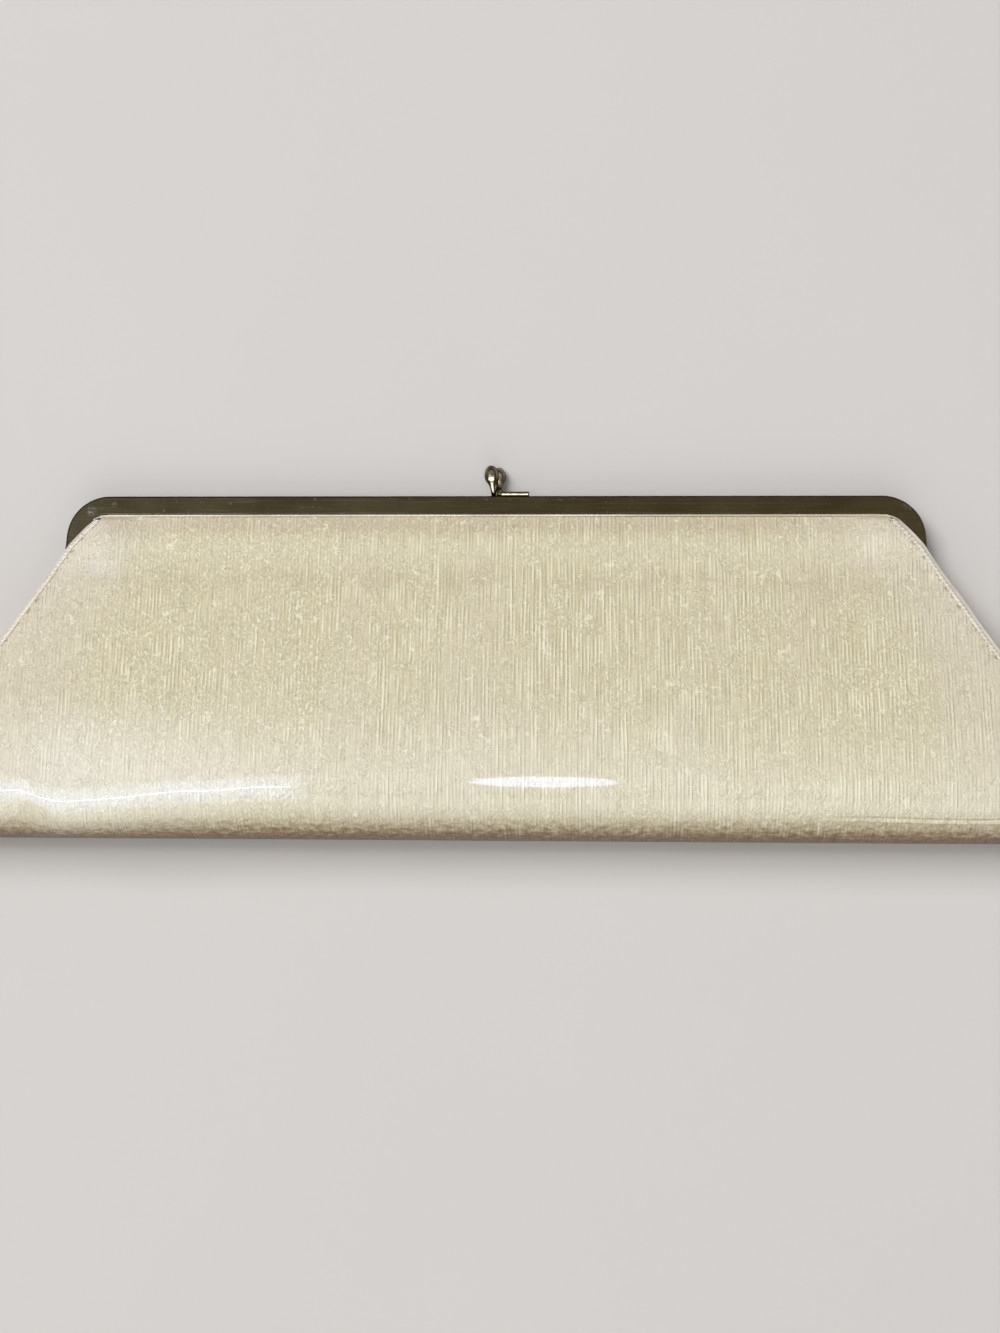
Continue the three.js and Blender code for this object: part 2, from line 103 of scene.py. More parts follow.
class Stretch(Enum):
    """Stretch of the cover's section that a station lies on."""

    FRONT_PANEL = "front panel"
    BASE_ROLL = "base roll"
    BACK_PANEL = "back panel"


class Sum(Enum):
    """One step of arithmetic between nodes."""

    PLUS = "ADD"
    LESS = "SUBTRACT"
    TIMES = "MULTIPLY"
    MOST = "MAXIMUM"
    SIZE = "ABSOLUTE"


class LampShape(Enum):
    """Outline of a studio lamp."""

    RECTANGLE = "RECTANGLE"
    ELLIPSE = "ELLIPSE"


class LampRole(Enum):
    """What a lamp adds to the picture."""

    SHADE = "light and shadow"
    GLOSS = "reflections"
    BOTH = "light, shadow and reflections"


# Small tools


def lerp(low: float, high: float, share: float) -> float:
    """Mix two numbers."""
    return low + (high - low) * share


def clamp(value: float, low: float = 0.0, high: float = 1.0) -> float:
    """Hold a number between two limits."""
    return max(low, min(high, value))


def smoothstep(value: float, low: float, high: float) -> float:
    """Rise smoothly from 0 at the low limit to 1 at the high one."""
    share = clamp((value - low) / (high - low))
    return share * share * (3 - 2 * share)


def bell(value: float, centre: float, width: float) -> float:
    """Smooth bump of height 1 round a centre."""
    return math.exp(-(((value - centre) / width) ** 2))


def steps(start: float, end: float, count: int) -> list[float]:
    """Evenly spaced numbers from a start up to, but not including, an end."""
    return [lerp(start, end, i / count) for i in range(count)]


def runs(*rows: tuple[float, float, int]) -> list[float]:
    """Runs of evenly spaced numbers, each given by its start, its end and its count of steps."""
    return [value for start, end, count in rows for value in steps(start, end, count)]


def full_turn(count: int) -> list[float]:
    """Evenly spaced angles round a circle."""
    return steps(0.0, 2 * math.pi, count)


def spline(rows: Sequence[Sequence[float]], value: float) -> list[float]:
    """Read a short table smoothly.

    Args:
        rows: Rows of numbers in the order of their first column.
        value: Where to read, in terms of the first column.

    Returns:
        The other columns at that place, on a curve through the rows.
    """
    last = len(rows) - 1
    value = clamp(value, rows[0][0], rows[last][0])
    k = max(0, min(last - 1, sum(row[0] <= value for row in rows) - 1))
    span = rows[k + 1][0] - rows[k][0]
    share = (value - rows[k][0]) / span

    def slope(i: int, column: int) -> float:
        """Slope of a column at a row, from the rows on both sides of it."""
        before, after = rows[max(0, i - 1)], rows[min(last, i + 1)]
        return (after[column] - before[column]) / (after[0] - before[0])

    found = []
    for column in range(1, len(rows[0])):
        low, high = rows[k][column], rows[k + 1][column]
        start, end = slope(k, column) * span, slope(k + 1, column) * span
        curve = (2 * low - 2 * high + start + end) * share + (3 * high - 3 * low - 2 * start - end)
        found.append((curve * share + start) * share + low)
    return found


def new_piece(name: str, points: Sequence[Vector], faces: Sequence[Sequence[int]]) -> bpy.types.Object:
    """Make a mesh piece with its faces turned out and its gentle edges smooth.

    Args:
        name: Name of the piece.
        points: Corners in metres.
        faces: Corner numbers of each face.

    Returns:
        The new piece, linked to the scene.
    """
    mesh = bpy.data.meshes.new(name)
    mesh.from_pydata([tuple(point) for point in points], [], faces)
    work = bmesh.new()
    work.from_mesh(mesh)
    bmesh.ops.recalc_face_normals(work, faces=work.faces)
    work.to_mesh(mesh)
    work.free()
    mesh.shade_smooth()
    mesh.set_sharp_from_angle(angle=SMOOTH_ANGLE)
    piece = bpy.data.objects.new(name, mesh)
    bpy.context.scene.collection.objects.link(piece)
    return piece


def grid_faces(rows: int, columns: int, first: int = 0) -> list[list[int]]:
    """Four-sided faces of a grid of corners.

    Args:
        rows: Rows of corners.
        columns: Corners in each row.
        first: Number of the first corner; the others follow row by row.

    Returns:
        Corner numbers of each face.
    """
    faces = []
    for row in range(rows - 1):
        for column in range(columns - 1):
            here = first + row * columns + column
            faces.append([here, here + 1, here + columns + 1, here + columns])
    return faces


def loft_faces(rings: int, sides: int, first: int = 0) -> list[list[int]]:
    """Faces of a closed body through equal rings, with a cap at each end.

    Args:
        rings: Count of the rings.
        sides: Corners in each ring.
        first: Number of the first corner; the others follow ring by ring.

    Returns:
        Corner numbers of each face.
    """
    faces = []
    for ring in range(rings - 1):
        for side in range(sides):
            here = first + ring * sides + side
            beside = first + ring * sides + (side + 1) % sides
            faces.append([here, beside, beside + sides, here + sides])
    faces.append([first + side for side in range(sides)])
    faces.append([first + (rings - 1) * sides + side for side in range(sides)])
    return faces


def loft_piece(name: str, bodies: Sequence[Sequence[Ring]]) -> bpy.types.Object:
    """Make one piece of one or more lofted bodies.

    Args:
        name: Name of the piece.
        bodies: For each body, its rings of points.

    Returns:
        The new piece.
    """
    points: list[Vector] = []
    faces: list[list[int]] = []
    for rings in bodies:
        faces += loft_faces(len(rings), len(rings[0]), len(points))
        points += [point for ring in rings for point in ring]
    return new_piece(name, points, faces)


def shell_piece(name: str, outer: Sequence[Ring], inner: Sequence[Ring]) -> bpy.types.Object:
    """Make a thin closed shell from two grids of the same size.

    Args:
        name: Name of the piece.
        outer: Rows of the outer face.
        inner: Rows of the inner face, behind the outer ones.

    Returns:
        The new piece.
    """
    rows, columns = len(outer), len(outer[0])
    count = rows * columns
    faces = grid_faces(rows, columns) + grid_faces(rows, columns, count)
    rim = list(range(columns))
    rim += [row * columns + columns - 1 for row in range(1, rows)]
    rim += [(rows - 1) * columns + column for column in range(columns - 2, -1, -1)]
    rim += [row * columns for row in range(rows - 2, 0, -1)]
    for here, beside in zip(rim, rim[1:] + rim[:1]):
        faces.append([here, beside, beside + count, here + count])
    points = [point for row in (*outer, *inner) for point in row]
    return new_piece(name, points, faces)


def lay_map(piece: bpy.types.Object, name: str, places: Sequence[Span]) -> None:
    """Give a piece a flat map.

    Args:
        piece: The piece.
        name: Name of the map.
        places: The place of each corner on the map, in metres.
    """
    layer = piece.data.uv_layers.new(name=name)
    for loop in piece.data.loops:
        layer.data[loop.index].uv = places[loop.vertex_index]


def rounded(corners: Sequence[tuple[float, float, float]], arc: int = 4, guard: float = 0.06) -> list[Span]:
    """Round the corners of a flat outline.

    Args:
        corners: Two coordinates and a radius for each corner.
        arc: Points on each rounded corner, less one.
        guard: How far beyond each corner a point holds the flat side flat.

    Returns:
        Points of the rounded outline.
    """
    outline = []
    for i, (across, height, radius) in enumerate(corners):
        here = Vector((across, height))
        before = Vector(corners[i - 1][:2]) - here
        after = Vector(corners[(i + 1) % len(corners)][:2]) - here
        if radius == 0:
            outline.append((across, height))
            continue
        before.normalize()
        after.normalize()
        start, end = here + before * radius, here + after * radius
        bend = [start + before * guard]
        for k in range(arc + 1):
            share = k / arc
            bend.append(start.lerp(here, share).lerp(here.lerp(end, share), share))
        bend.append(end + after * guard)
        outline += [(point.x, point.y) for point in bend]
    return outline


def settle(piece: bpy.types.Object, look: bpy.types.Material, slot: str, *nodes: str) -> bpy.types.Object:
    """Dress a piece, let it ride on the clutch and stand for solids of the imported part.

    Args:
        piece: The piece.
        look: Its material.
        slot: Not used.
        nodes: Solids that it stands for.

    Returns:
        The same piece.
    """
    piece.data.materials.append(look)
    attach(piece, BODY)
    if nodes:
        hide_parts(*nodes)
    LOG.info("%s: %d faces", piece.name, len(piece.data.polygons))
    return piece


# Nodes


class NodeLayout:
    """Lays out the nodes of one material or lamp."""

    def __init__(self, tree: bpy.types.NodeTree) -> None:
        """Work in a tree of nodes."""
        self.nodes = tree.nodes
        self.links = tree.links

    def node(self, kind: str, feeds: Feeds = (), **settings: object) -> bpy.types.Node:
        """Add a node.

        Args:
            kind: Type of the node.
            feeds: Names or numbers of its inputs, each with what it is fed.
            settings: Options of the node.

        Returns:
            The new node.
        """
        made = self.nodes.new(kind)
        for name, value in settings.items():
            setattr(made, name, value)
        for key, value in feeds:
            self.feed(made.inputs[key], value)
        return made

    def feed(self, socket: Socket, value: Paint | Amount) -> None:
        """Link a socket, or set its own value.

        Args:
            socket: The input.
            value: Another socket, a number, a colour or a place.
        """
        if isinstance(value, bpy.types.NodeSocket):
            self.links.new(value, socket)
        elif isinstance(value, tuple) and socket.type == "RGBA":
            socket.default_value = (*value, 1.0)
        else:
            socket.default_value = value

    def parts(self, vector: Socket) -> tuple[Socket, Socket, Socket]:
        """Split a place into its three numbers."""
        split = self.node("ShaderNodeSeparateXYZ", [("Vector", vector)])
        return split.outputs["X"], split.outputs["Y"], split.outputs["Z"]

    def sums(self, rule: Sum, first: Amount, second: Amount = 0.0) -> Socket:
        """One step of arithmetic."""
        return self.node("ShaderNodeMath", ((0, first), (1, second)), operation=rule.value).outputs[0]

    def plus(self, first: Amount, second: Amount) -> Socket:
        """Sum of two values."""
        return self.sums(Sum.PLUS, first, second)

    def less(self, first: Amount, second: Amount) -> Socket:
        """Difference of two values."""
        return self.sums(Sum.LESS, first, second)

    def times(self, first: Amount, second: Amount) -> Socket:
        """Product of two values."""
        return self.sums(Sum.TIMES, first, second)

    def most(self, first: Amount, second: Amount) -> Socket:
        """The larger of two values."""
        return self.sums(Sum.MOST, first, second)

    def apart(self, first: Amount, second: Amount) -> Socket:
        """Distance between two values."""
        return self.sums(Sum.SIZE, self.less(first, second))

    def fade(self, value: Amount, low: float, high: float, start: float = 0.0, end: float = 1.0) -> Socket:
        """Turn a range of a value smoothly into another range."""
        feeds = (("Value", value), ("From Min", low), ("From Max", high), ("To Min", start), ("To Max", end))
        return self.node("ShaderNodeMapRange", feeds, interpolation_type="SMOOTHSTEP").outputs[0]


class Recipe(NodeLayout):
    """Lays out one procedural material round a principled shader."""

    def __init__(self, name: str) -> None:
        """Start a material.

        Args:
            name: Name of the material.
        """
        self.material = bpy.data.materials.new(name)
        self.material.use_nodes = True
        super().__init__(self.material.node_tree)
        self.shader = self.nodes["Principled BSDF"]

    def surface(self, **values: Paint | Amount) -> None:
        """Feed the shader.

        Args:
            values: What each socket is fed, under its name in lower case with underscores.
        """
        for word, value in values.items():
            name = word.replace("_", " ").title().replace("Ior", "IOR")
            self.feed(self.shader.inputs[name], value)

    def map_of(self, layer: str) -> Socket:
        """Flat map of the piece, in metres."""
        return self.node("ShaderNodeUVMap", uv_map=layer).outputs["UV"]

    def place(self) -> Socket:
        """Place on the piece, in metres."""
        return self.node("ShaderNodeTexCoord").outputs["Object"]

    def stretched(self, vector: Socket, scale: Place, shift: Place = (0.0, 0.0, 0.0)) -> Socket:
        """Scale and shift a place."""
        feeds = (("Vector", vector), ("Scale", scale), ("Location", shift))
        return self.node("ShaderNodeMapping", feeds).outputs["Vector"]

    def cloud(self, vector: Socket, scale: float, detail: float = 2.0, twist: float = 0.0,
              flat: bool = True) -> Socket:
        """Soft noise between 0 and 1.

        Args:
            vector: Where it is read.
            scale: Lumps to the metre.
            detail: How many finer layers it has.
            twist: How far it is pulled about.
            flat: Whether it is read on a flat map.

        Returns:
            The noise's value.
        """
        feeds = (("Vector", vector), ("Scale", scale), ("Detail", detail), ("Distortion", twist))
        return self.node("ShaderNodeTexNoise", feeds, noise_dimensions="2D" if flat else "3D").outputs[0]

    def grain(self, vector: Socket, scale: float, detail: float = 2.0) -> Socket:
        """Soft noise through a body, between 0 and 1."""
        return self.cloud(vector, scale, detail, flat=False)

    def ribs(self, vector: Socket, pitch: float, wander: float) -> Socket:
        """Even ribs across X.

        Args:
            vector: Where they are read.
            pitch: Rib to rib, in metres.
            wander: How far a rib strays, in radians of its phase.

        Returns:
            The ribs' height, from 0 to 1.
        """
        # Pitch of the node's own bands at a scale of 1.
        node_pitch = math.pi / 10
        feeds = (("Vector", vector), ("Scale", node_pitch / pitch), ("Distortion", wander),
                 ("Detail", 2.0), ("Detail Scale", 0.6))
        return self.node("ShaderNodeTexWave", feeds, wave_type="BANDS", bands_direction="X").outputs[1]

    def mix(self, share: Amount, first: Paint, second: Paint) -> Socket:
        """Mix two colours."""
        feeds = ((0, share), (6, first), (7, second))
        return self.node("ShaderNodeMix", feeds, data_type="RGBA").outputs[2]

    def near(self, vector: Socket, spot: Place, reach: float) -> Socket:
        """1 at a spot, falling to 0 at its reach, in metres."""
        away = self.node("ShaderNodeVectorMath", ((0, vector), (1, spot)), operation="DISTANCE")
        return self.fade(away.outputs["Value"], 0.0, reach, 1.0, 0.0)

    def relief(self, height: Socket, depth: float) -> Socket:
        """Normal of a surface with this relief, in metres."""
        return self.node("ShaderNodeBump", (("Height", height), ("Distance", depth))).outputs["Normal"]


# Finishes: a grain is lumps to the metre, and a ramp is where it starts and ends and its two values.


@dataclass(frozen=True)
class Threads:
    """Maps and relief of the slub cloth, which its colours and its gloss share."""

    cloth: Socket
    across: Socket
    down: Socket
    edge: Socket
    weave: Socket
    curls: Socket
    hollows: Socket


@dataclass(frozen=True)
class SlubVinyl:
    """Cream slub cloth with fine ribs and curled loose threads, under clear glossy vinyl."""

    groove: Colour = (0.497, 0.430, 0.262)
    rib: Colour = (0.718, 0.656, 0.449)
    thread: Colour = (0.885, 0.845, 0.65)
    blush: Colour = (0.62, 0.55, 0.43)
    # Staining, and painted shade along a shallow dent.
    stain: Colour = (0.50, 0.42, 0.28)
    # Painted shade with some staining under the lip.
    lip_stain: Colour = (0.46, 0.36, 0.25)
    edge_blush: Colour = (0.66, 0.59, 0.49)
    # Pale cream of the painted sheen above the roll.
    clouding: Colour = (0.84, 0.80, 0.66)
    # Soiling and painted shade at the roll's foot.
    grime: Colour = (0.285, 0.165, 0.070)
    # Darkest soiling and painted shade, towards the roll's underside.
    deep_grime: Colour = (0.110, 0.064, 0.031)
    needle_hole: Colour = (0.30, 0.24, 0.15)

    # Ribs, strands and crinkled patches
    rib_pitch: float = 0.00102
    rib_wander: float = 3.0
    rib_run: Place = (1.0, 0.25, 1.0)
    rib_height: Ramp = (0.15, 0.75, 0.0, 0.46)
    strand_grain: Place = (1500.0, 66.0, 1.0)
    strand_height: Ramp = (0.30, 0.70, 0.0, 0.54)
    crinkle_grain: Place = (1500.0, 950.0, 1.0)
    crinkle_twist: float = 0.6
    crinkle_height: Ramp = (0.34, 0.66, 0.08, 0.88)
    patch_grain: float = 130.0
    looser_left: Ramp = (-0.065, 0.0, 0.16, 0.0)
    looser_right: Ramp = (0.03, 0.10, 0.0, 0.07)
    looser_at_lip: Ramp = (0.012, 0.030, 0.06, 0.0)
    looser_on_roll: Ramp = (0.084, 0.090, 0.0, 0.13)
    even_share: Ramp = (0.46, 0.64, 1.0, 0.35)
    crinkle_share: Ramp = (0.46, 0.64, 0.0, 0.65)
    pale_tops: Ramp = (0.62, 0.95, 0.0, 0.55)
    band_run: Place = (40.0, 7.0, 1.0)
    band_share: Ramp = (0.40, 0.66, 0.0, 0.30)

    # Curled threads and hollows, each with its place in the noise, and smaller marks
    curl_run: Place = (1.0, 0.8, 1.0)
    curl_twist: float = 0.7
    curl_line: Ramp = (0.010, 0.032, 1.0, 0.0)
    curl_gaps: float = 0.83
    curl_kept: Span = (0.50, 0.58)
    large_curls: Span = (300.0, 3.1)
    small_curls: Span = (470.0, 7.7)
    hollow_curls: Span = (410.0, 12.3)
    curl_share: Ramp = (-0.06, 0.03, 0.95, 0.85)
    curl_tint: float = 0.60
    curl_height: float = 0.6
    hollow_tint: float = 0.45
    hollow_depth: float = 0.4
    fleck_grain: float = 1500.0
    fleck_share: Ramp = (0.68, 0.76, 0.0, 0.55)
    pit_grain: float = 720.0
    pit_share: Ramp = (0.68, 0.76, 0.0, 0.40)
    hole_grain: float = 760.0
    hole_kept: Span = (0.54, 0.62)
    hole_reach: Ramp = (0.0004, 0.0010, 0.75, 0.0)

    # Stains, and painted shade under the lip and along a shallow dent
    stain_line: float = 0.0260
    stain_run: Place = (14.0, 2.0, 1.0)
    stain_wander: float = 0.008
    stain_share: Ramp = (0.0, 0.005, 0.42, 0.0)
    stain_patches: Place = (85.0, 136.0, 1.0)
    stain_kept: Span = (0.36, 0.62)
    smudge_run: Place = (1.0, 4.0, 1.0)
    smudge: Place = (0.104, 0.090, 0.0)
    smudge_reach: float = 0.048
    smudge_share: float = 0.55
    lip_share: Ramp = (0.0055, 0.0100, 0.38, 0.0)
    edge_share: Ramp = (0.0, 0.034, 0.55, 0.0)

    # Painted sheen above the roll, most on the left, and a paler strip below the lip
    rub_start: Span = (0.052, 0.083)
    rub_end: Ramp = (0.086, 0.094, 1.0, 0.0)
    rub_share: Ramp = (-0.075, -0.045, 0.45, 0.32)
    strip_start: Ramp = (0.007, 0.012, 0.0, 0.14)
    strip_end: Ramp = (0.013, 0.021, 1.0, 0.0)

    # Soiling and painted shade along the foot of the roll
    grime_patches: Place = (420.0, 630.0, 1.0)
    grime_wander: float = 0.011
    grime_end: Ramp = (0.1045, 0.1165, 1.0, 0.0)
    grime_on_tops: Ramp = (0.2, 1.0, 1.0, 0.86)
    grime_start: Span = (0.0944, 0.1040)
    deep_start: Span = (0.0992, 0.1085)

    # Relief and gloss
    relief_depth: float = 0.00016
    roughness: Ramp = (0.0, 1.0, 0.50, 0.38)
    ripple_run: Place = (28.0, 110.0, 1.0)
    fine_ripple_run: Place = (90.0, 260.0, 1.0)
    fine_ripple_share: Ramp = (-0.08, -0.05, 0.8, 0.0)
    ripple_depth: float = 0.000014
    gloss_down: Ramp = (0.086, 0.094, 1.0, 0.08)
    gloss_inward: Ramp = (0.004, 0.017, 0.12, 1.0)
    vinyl_roughness: float = 0.03
    vinyl_ior: float = 1.5
    cloth_specular: float = 0.5

    def curled(self, mix: Recipe, cloth: Socket, grain: float, shift: float) -> Socket:
        """Short curled threads.

        Args:
            mix: The material being made.
            cloth: Flat map of the cloth.
            grain: Curls to the metre.
            shift: Where in the noise they are taken from.

        Returns:
            1 on a thread and 0 beside it.
        """
        moved = mix.stretched(cloth, self.curl_run, (shift, shift, 0.0))
        away = mix.apart(mix.cloud(moved, grain, 0.5, self.curl_twist), 0.5)
        kept = mix.fade(mix.cloud(moved, grain * self.curl_gaps, 1.0), *self.curl_kept)
        return mix.times(mix.fade(away, *self.curl_line), kept)

    def loose(self, mix: Recipe, cloth: Socket) -> Socket:
        """Where the ribs give way to crinkled patches.

        Args:
            mix: The material being made.
            cloth: Flat map of the cloth.

        Returns:
            How loose the weave is, the most on the left and on the roll.
        """
        across, down, _ = mix.parts(cloth)
        loose = mix.plus(mix.cloud(cloth, self.patch_grain), mix.fade(across, *self.looser_left))
        loose = mix.plus(loose, mix.fade(across, *self.looser_right))
        loose = mix.plus(loose, mix.fade(down, *self.looser_at_lip))
        return mix.plus(loose, mix.fade(down, *self.looser_on_roll))

    def weave(self, mix: Recipe, cloth: Socket) -> Socket:
        """Ribs, strands and crinkled patches.

        Args:
            mix: The material being made.
            cloth: Flat map of the cloth.

        Returns:
            The height of the weave, from 0 to 1.
        """
        loose = self.loose(mix, cloth)
        ribs = mix.ribs(mix.stretched(cloth, self.rib_run), self.rib_pitch, self.rib_wander)
        strands = mix.cloud(mix.stretched(cloth, self.strand_grain), 1.0, 1.0)
        crinkle = mix.cloud(mix.stretched(cloth, self.crinkle_grain), 1.0, 2.0, self.crinkle_twist)
        even = mix.plus(mix.fade(ribs, *self.rib_height), mix.fade(strands, *self.strand_height))
        even = mix.times(even, mix.fade(loose, *self.even_share))
        crinkle = mix.times(mix.fade(crinkle, *self.crinkle_height), mix.fade(loose, *self.crinkle_share))
        return mix.plus(even, crinkle)

    def threads(self, mix: Recipe) -> Threads:
        """Lay out the cloth's maps and relief.

        Args:
            mix: The material being made.

        Returns:
            What the colours and the gloss share.
        """
        cloth = mix.map_of("cloth")
        edge, _, _ = mix.parts(mix.map_of("edge"))
        across, down, _ = mix.parts(cloth)
        weave = self.weave(mix, cloth)
        curls = mix.most(*(self.curled(mix, cloth, *row) for row in (self.large_curls, self.small_curls)))
        curls = mix.times(curls, mix.fade(across, *self.curl_share))
        hollows = self.curled(mix, cloth, *self.hollow_curls)
        return Threads(cloth, across, down, edge, weave, curls, hollows)

    def dyed(self, mix: Recipe, threads: Threads) -> Socket:
        """Colour of the clean cloth, from its grooves to the pale tops of its threads, whose palest tops are
        partly painted highlight.

        Args:
            mix: The material being made.
            threads: Maps and relief of the cloth.

        Returns:
            The colour.
        """
        bands = mix.cloud(mix.stretched(threads.cloth, self.band_run), 1.0)
        colour = mix.mix(threads.weave, self.groove, self.rib)
        # Palest thread tops, partly painted highlight.
        colour = mix.mix(mix.fade(threads.weave, *self.pale_tops), colour, self.thread)
        return mix.mix(mix.fade(bands, *self.band_share), colour, self.blush)

    def stained(self, mix: Recipe, threads: Threads, colour: Socket) -> Socket:
        """Painted shade with some staining in a strip under the lip, a broken line of painted shade along a
        shallow dent with some staining across the upper panel, a smudge and dull side edges.

        Args:
            mix: The material being made.
            threads: Maps and relief of the cloth.
            colour: The colour so far.

        Returns:
            The stained colour.
        """
        # Broken line of painted shade along a shallow dent across the upper panel, with some staining, and a
        # smudge.
        wander = mix.cloud(mix.stretched(threads.cloth, self.stain_run), 1.0)
        away = mix.apart(mix.plus(threads.down, mix.times(wander, self.stain_wander)), self.stain_line)
        smudge = mix.near(mix.stretched(threads.cloth, self.smudge_run), self.smudge, self.smudge_reach)
        marks = mix.most(mix.fade(away, *self.stain_share), mix.times(smudge, self.smudge_share))
        patches = mix.fade(mix.cloud(mix.stretched(threads.cloth, self.stain_patches), 1.0), *self.stain_kept)
        colour = mix.mix(mix.times(marks, patches), colour, self.stain)
        # Painted shade under the lip, with some staining.
        colour = mix.mix(mix.fade(threads.down, *self.lip_share), colour, self.lip_stain)
        return mix.mix(mix.fade(threads.edge, *self.edge_share), colour, self.edge_blush)

    def flecked(self, mix: Recipe, threads: Threads, colour: Socket) -> Socket:
        """Hollows, pits, curled threads and flecks.

        Args:
            mix: The material being made.
            threads: Maps and relief of the cloth.
            colour: The colour so far.

        Returns:
            The flecked colour.
        """
        flecks = mix.fade(mix.cloud(threads.cloth, self.fleck_grain, 1.0), *self.fleck_share)
        pits = mix.fade(mix.cloud(threads.cloth, self.pit_grain, 1.0), *self.pit_share)
        colour = mix.mix(mix.times(threads.hollows, self.hollow_tint), colour, self.groove)
        colour = mix.mix(pits, colour, self.groove)
        colour = mix.mix(mix.times(threads.curls, self.curl_tint), colour, self.thread)
        return mix.mix(flecks, colour, self.thread)

    def aged(self, mix: Recipe, threads: Threads, colour: Socket) -> Socket:
        """Painted sheen of pale cream above the base roll, most on the left, and a paler strip below the lip.

        Args:
            mix: The material being made.
            threads: Maps and relief of the cloth.
            colour: The colour so far.

        Returns:
            The aged colour.
        """
        down = threads.down
        rub_and_sheen = mix.times(mix.fade(down, *self.rub_start), mix.fade(down, *self.rub_end))
        rub_and_sheen = mix.times(rub_and_sheen, mix.fade(threads.across, *self.rub_share))
        # Painted sheen: paler cream on the vinyl above the roll, most on the left.
        colour = mix.mix(rub_and_sheen, colour, self.clouding)
        strip = mix.times(mix.fade(down, *self.strip_start), mix.fade(down, *self.strip_end))
        return mix.mix(strip, colour, self.thread)

    def soiled(self, mix: Recipe, threads: Threads, colour: Socket) -> Socket:
        """Soiling and painted shade along the foot of the base roll, darkest towards its underside and
        thinner on the tops of the threads, and needle holes.

        Args:
            mix: The material being made.
            threads: Maps and relief of the cloth.
            colour: The colour so far.

        Returns:
            The soiled colour.
        """
        patches = mix.cloud(mix.stretched(threads.cloth, self.grime_patches), 1.0, 3.0)
        low = mix.plus(threads.down, mix.times(patches, self.grime_wander))
        held = mix.times(mix.fade(threads.down, *self.grime_end),
                         mix.fade(threads.weave, *self.grime_on_tops))
        light = mix.times(mix.fade(low, *self.grime_start), held)
        deep = mix.times(mix.fade(low, *self.deep_start), held)
        # Soiling, deepened with painted shade towards the roll's underside.
        colour = mix.mix(deep, mix.mix(light, colour, self.grime), self.deep_grime)
        holes = mix.fade(mix.cloud(threads.cloth, self.hole_grain, 1.0), *self.hole_kept)
        holes = mix.times(holes, mix.fade(threads.edge, *self.hole_reach))
        return mix.mix(holes, colour, self.needle_hole)

    def ripple(self, mix: Recipe, threads: Threads) -> Socket:
        """Slow waves of the vinyl down the clutch, with finer ones where it has slumped.

        Args:
            mix: The material being made.
            threads: Maps and relief of the cloth.

        Returns:
            The height of the waves.
        """
        slow = mix.cloud(mix.stretched(threads.cloth, self.ripple_run), 1.0, 1.0)
        fine = mix.cloud(mix.stretched(threads.cloth, self.fine_ripple_run), 1.0, 1.0)
        return mix.plus(slow, mix.times(fine, mix.fade(threads.across, *self.fine_ripple_share)))

    def make(self) -> bpy.types.Material:
        """Make the material.

        Returns:
            The material.
        """
        mix = Recipe("slub_vinyl")
        threads = self.threads(mix)
        colour = self.stained(mix, threads, self.dyed(mix, threads))
        colour = self.aged(mix, threads, self.flecked(mix, threads, colour))
        height = mix.plus(threads.weave, mix.times(threads.curls, self.curl_height))
        height = mix.less(height, mix.times(threads.hollows, self.hollow_depth))
        gloss = mix.fade(threads.down, *self.gloss_down)
        gloss = mix.times(gloss, mix.fade(threads.edge, *self.gloss_inward))
        mix.surface(
            base_color=self.soiled(mix, threads, colour),
            roughness=mix.fade(threads.weave, *self.roughness),
            normal=mix.relief(height, self.relief_depth),
            specular_ior_level=self.cloth_specular,
            coat_weight=gloss,
            coat_roughness=self.vinyl_roughness,
            coat_ior=self.vinyl_ior,
            coat_normal=mix.relief(self.ripple(mix, threads), self.ripple_depth),
        )
        return mix.material


@dataclass(frozen=True)
class RolledCloth:
    """Cloth and vinyl rolled together along the sides."""

    light: Colour = (0.78, 0.73, 0.62)
    dark: Colour = (0.56, 0.50, 0.39)
    fibre_grain: float = 1400.0
    fibre_share: Ramp = (0.3, 0.7, 0.0, 0.55)
    patch_grain: float = 160.0
    patch_share: Ramp = (0.35, 0.65, 0.0, 0.45)
    roughness: Ramp = (0.3, 0.7, 0.35, 0.55)
    relief_depth: float = 0.00015
    gloss: float = 0.5
    gloss_roughness: float = 0.2

    def make(self) -> bpy.types.Material:
        """Make the material.

        Returns:
            The material.
        """
        mix = Recipe("rolled_cloth")
        place = mix.place()
        fibres = mix.grain(place, self.fibre_grain)
        patches = mix.grain(place, self.patch_grain)
        share = mix.plus(mix.fade(fibres, *self.fibre_share), mix.fade(patches, *self.patch_share))
        mix.surface(
            base_color=mix.mix(share, self.dark, self.light),
            roughness=mix.fade(patches, *self.roughness),
            normal=mix.relief(fibres, self.relief_depth),
            coat_weight=self.gloss,
            coat_roughness=self.gloss_roughness,
        )
        return mix.material


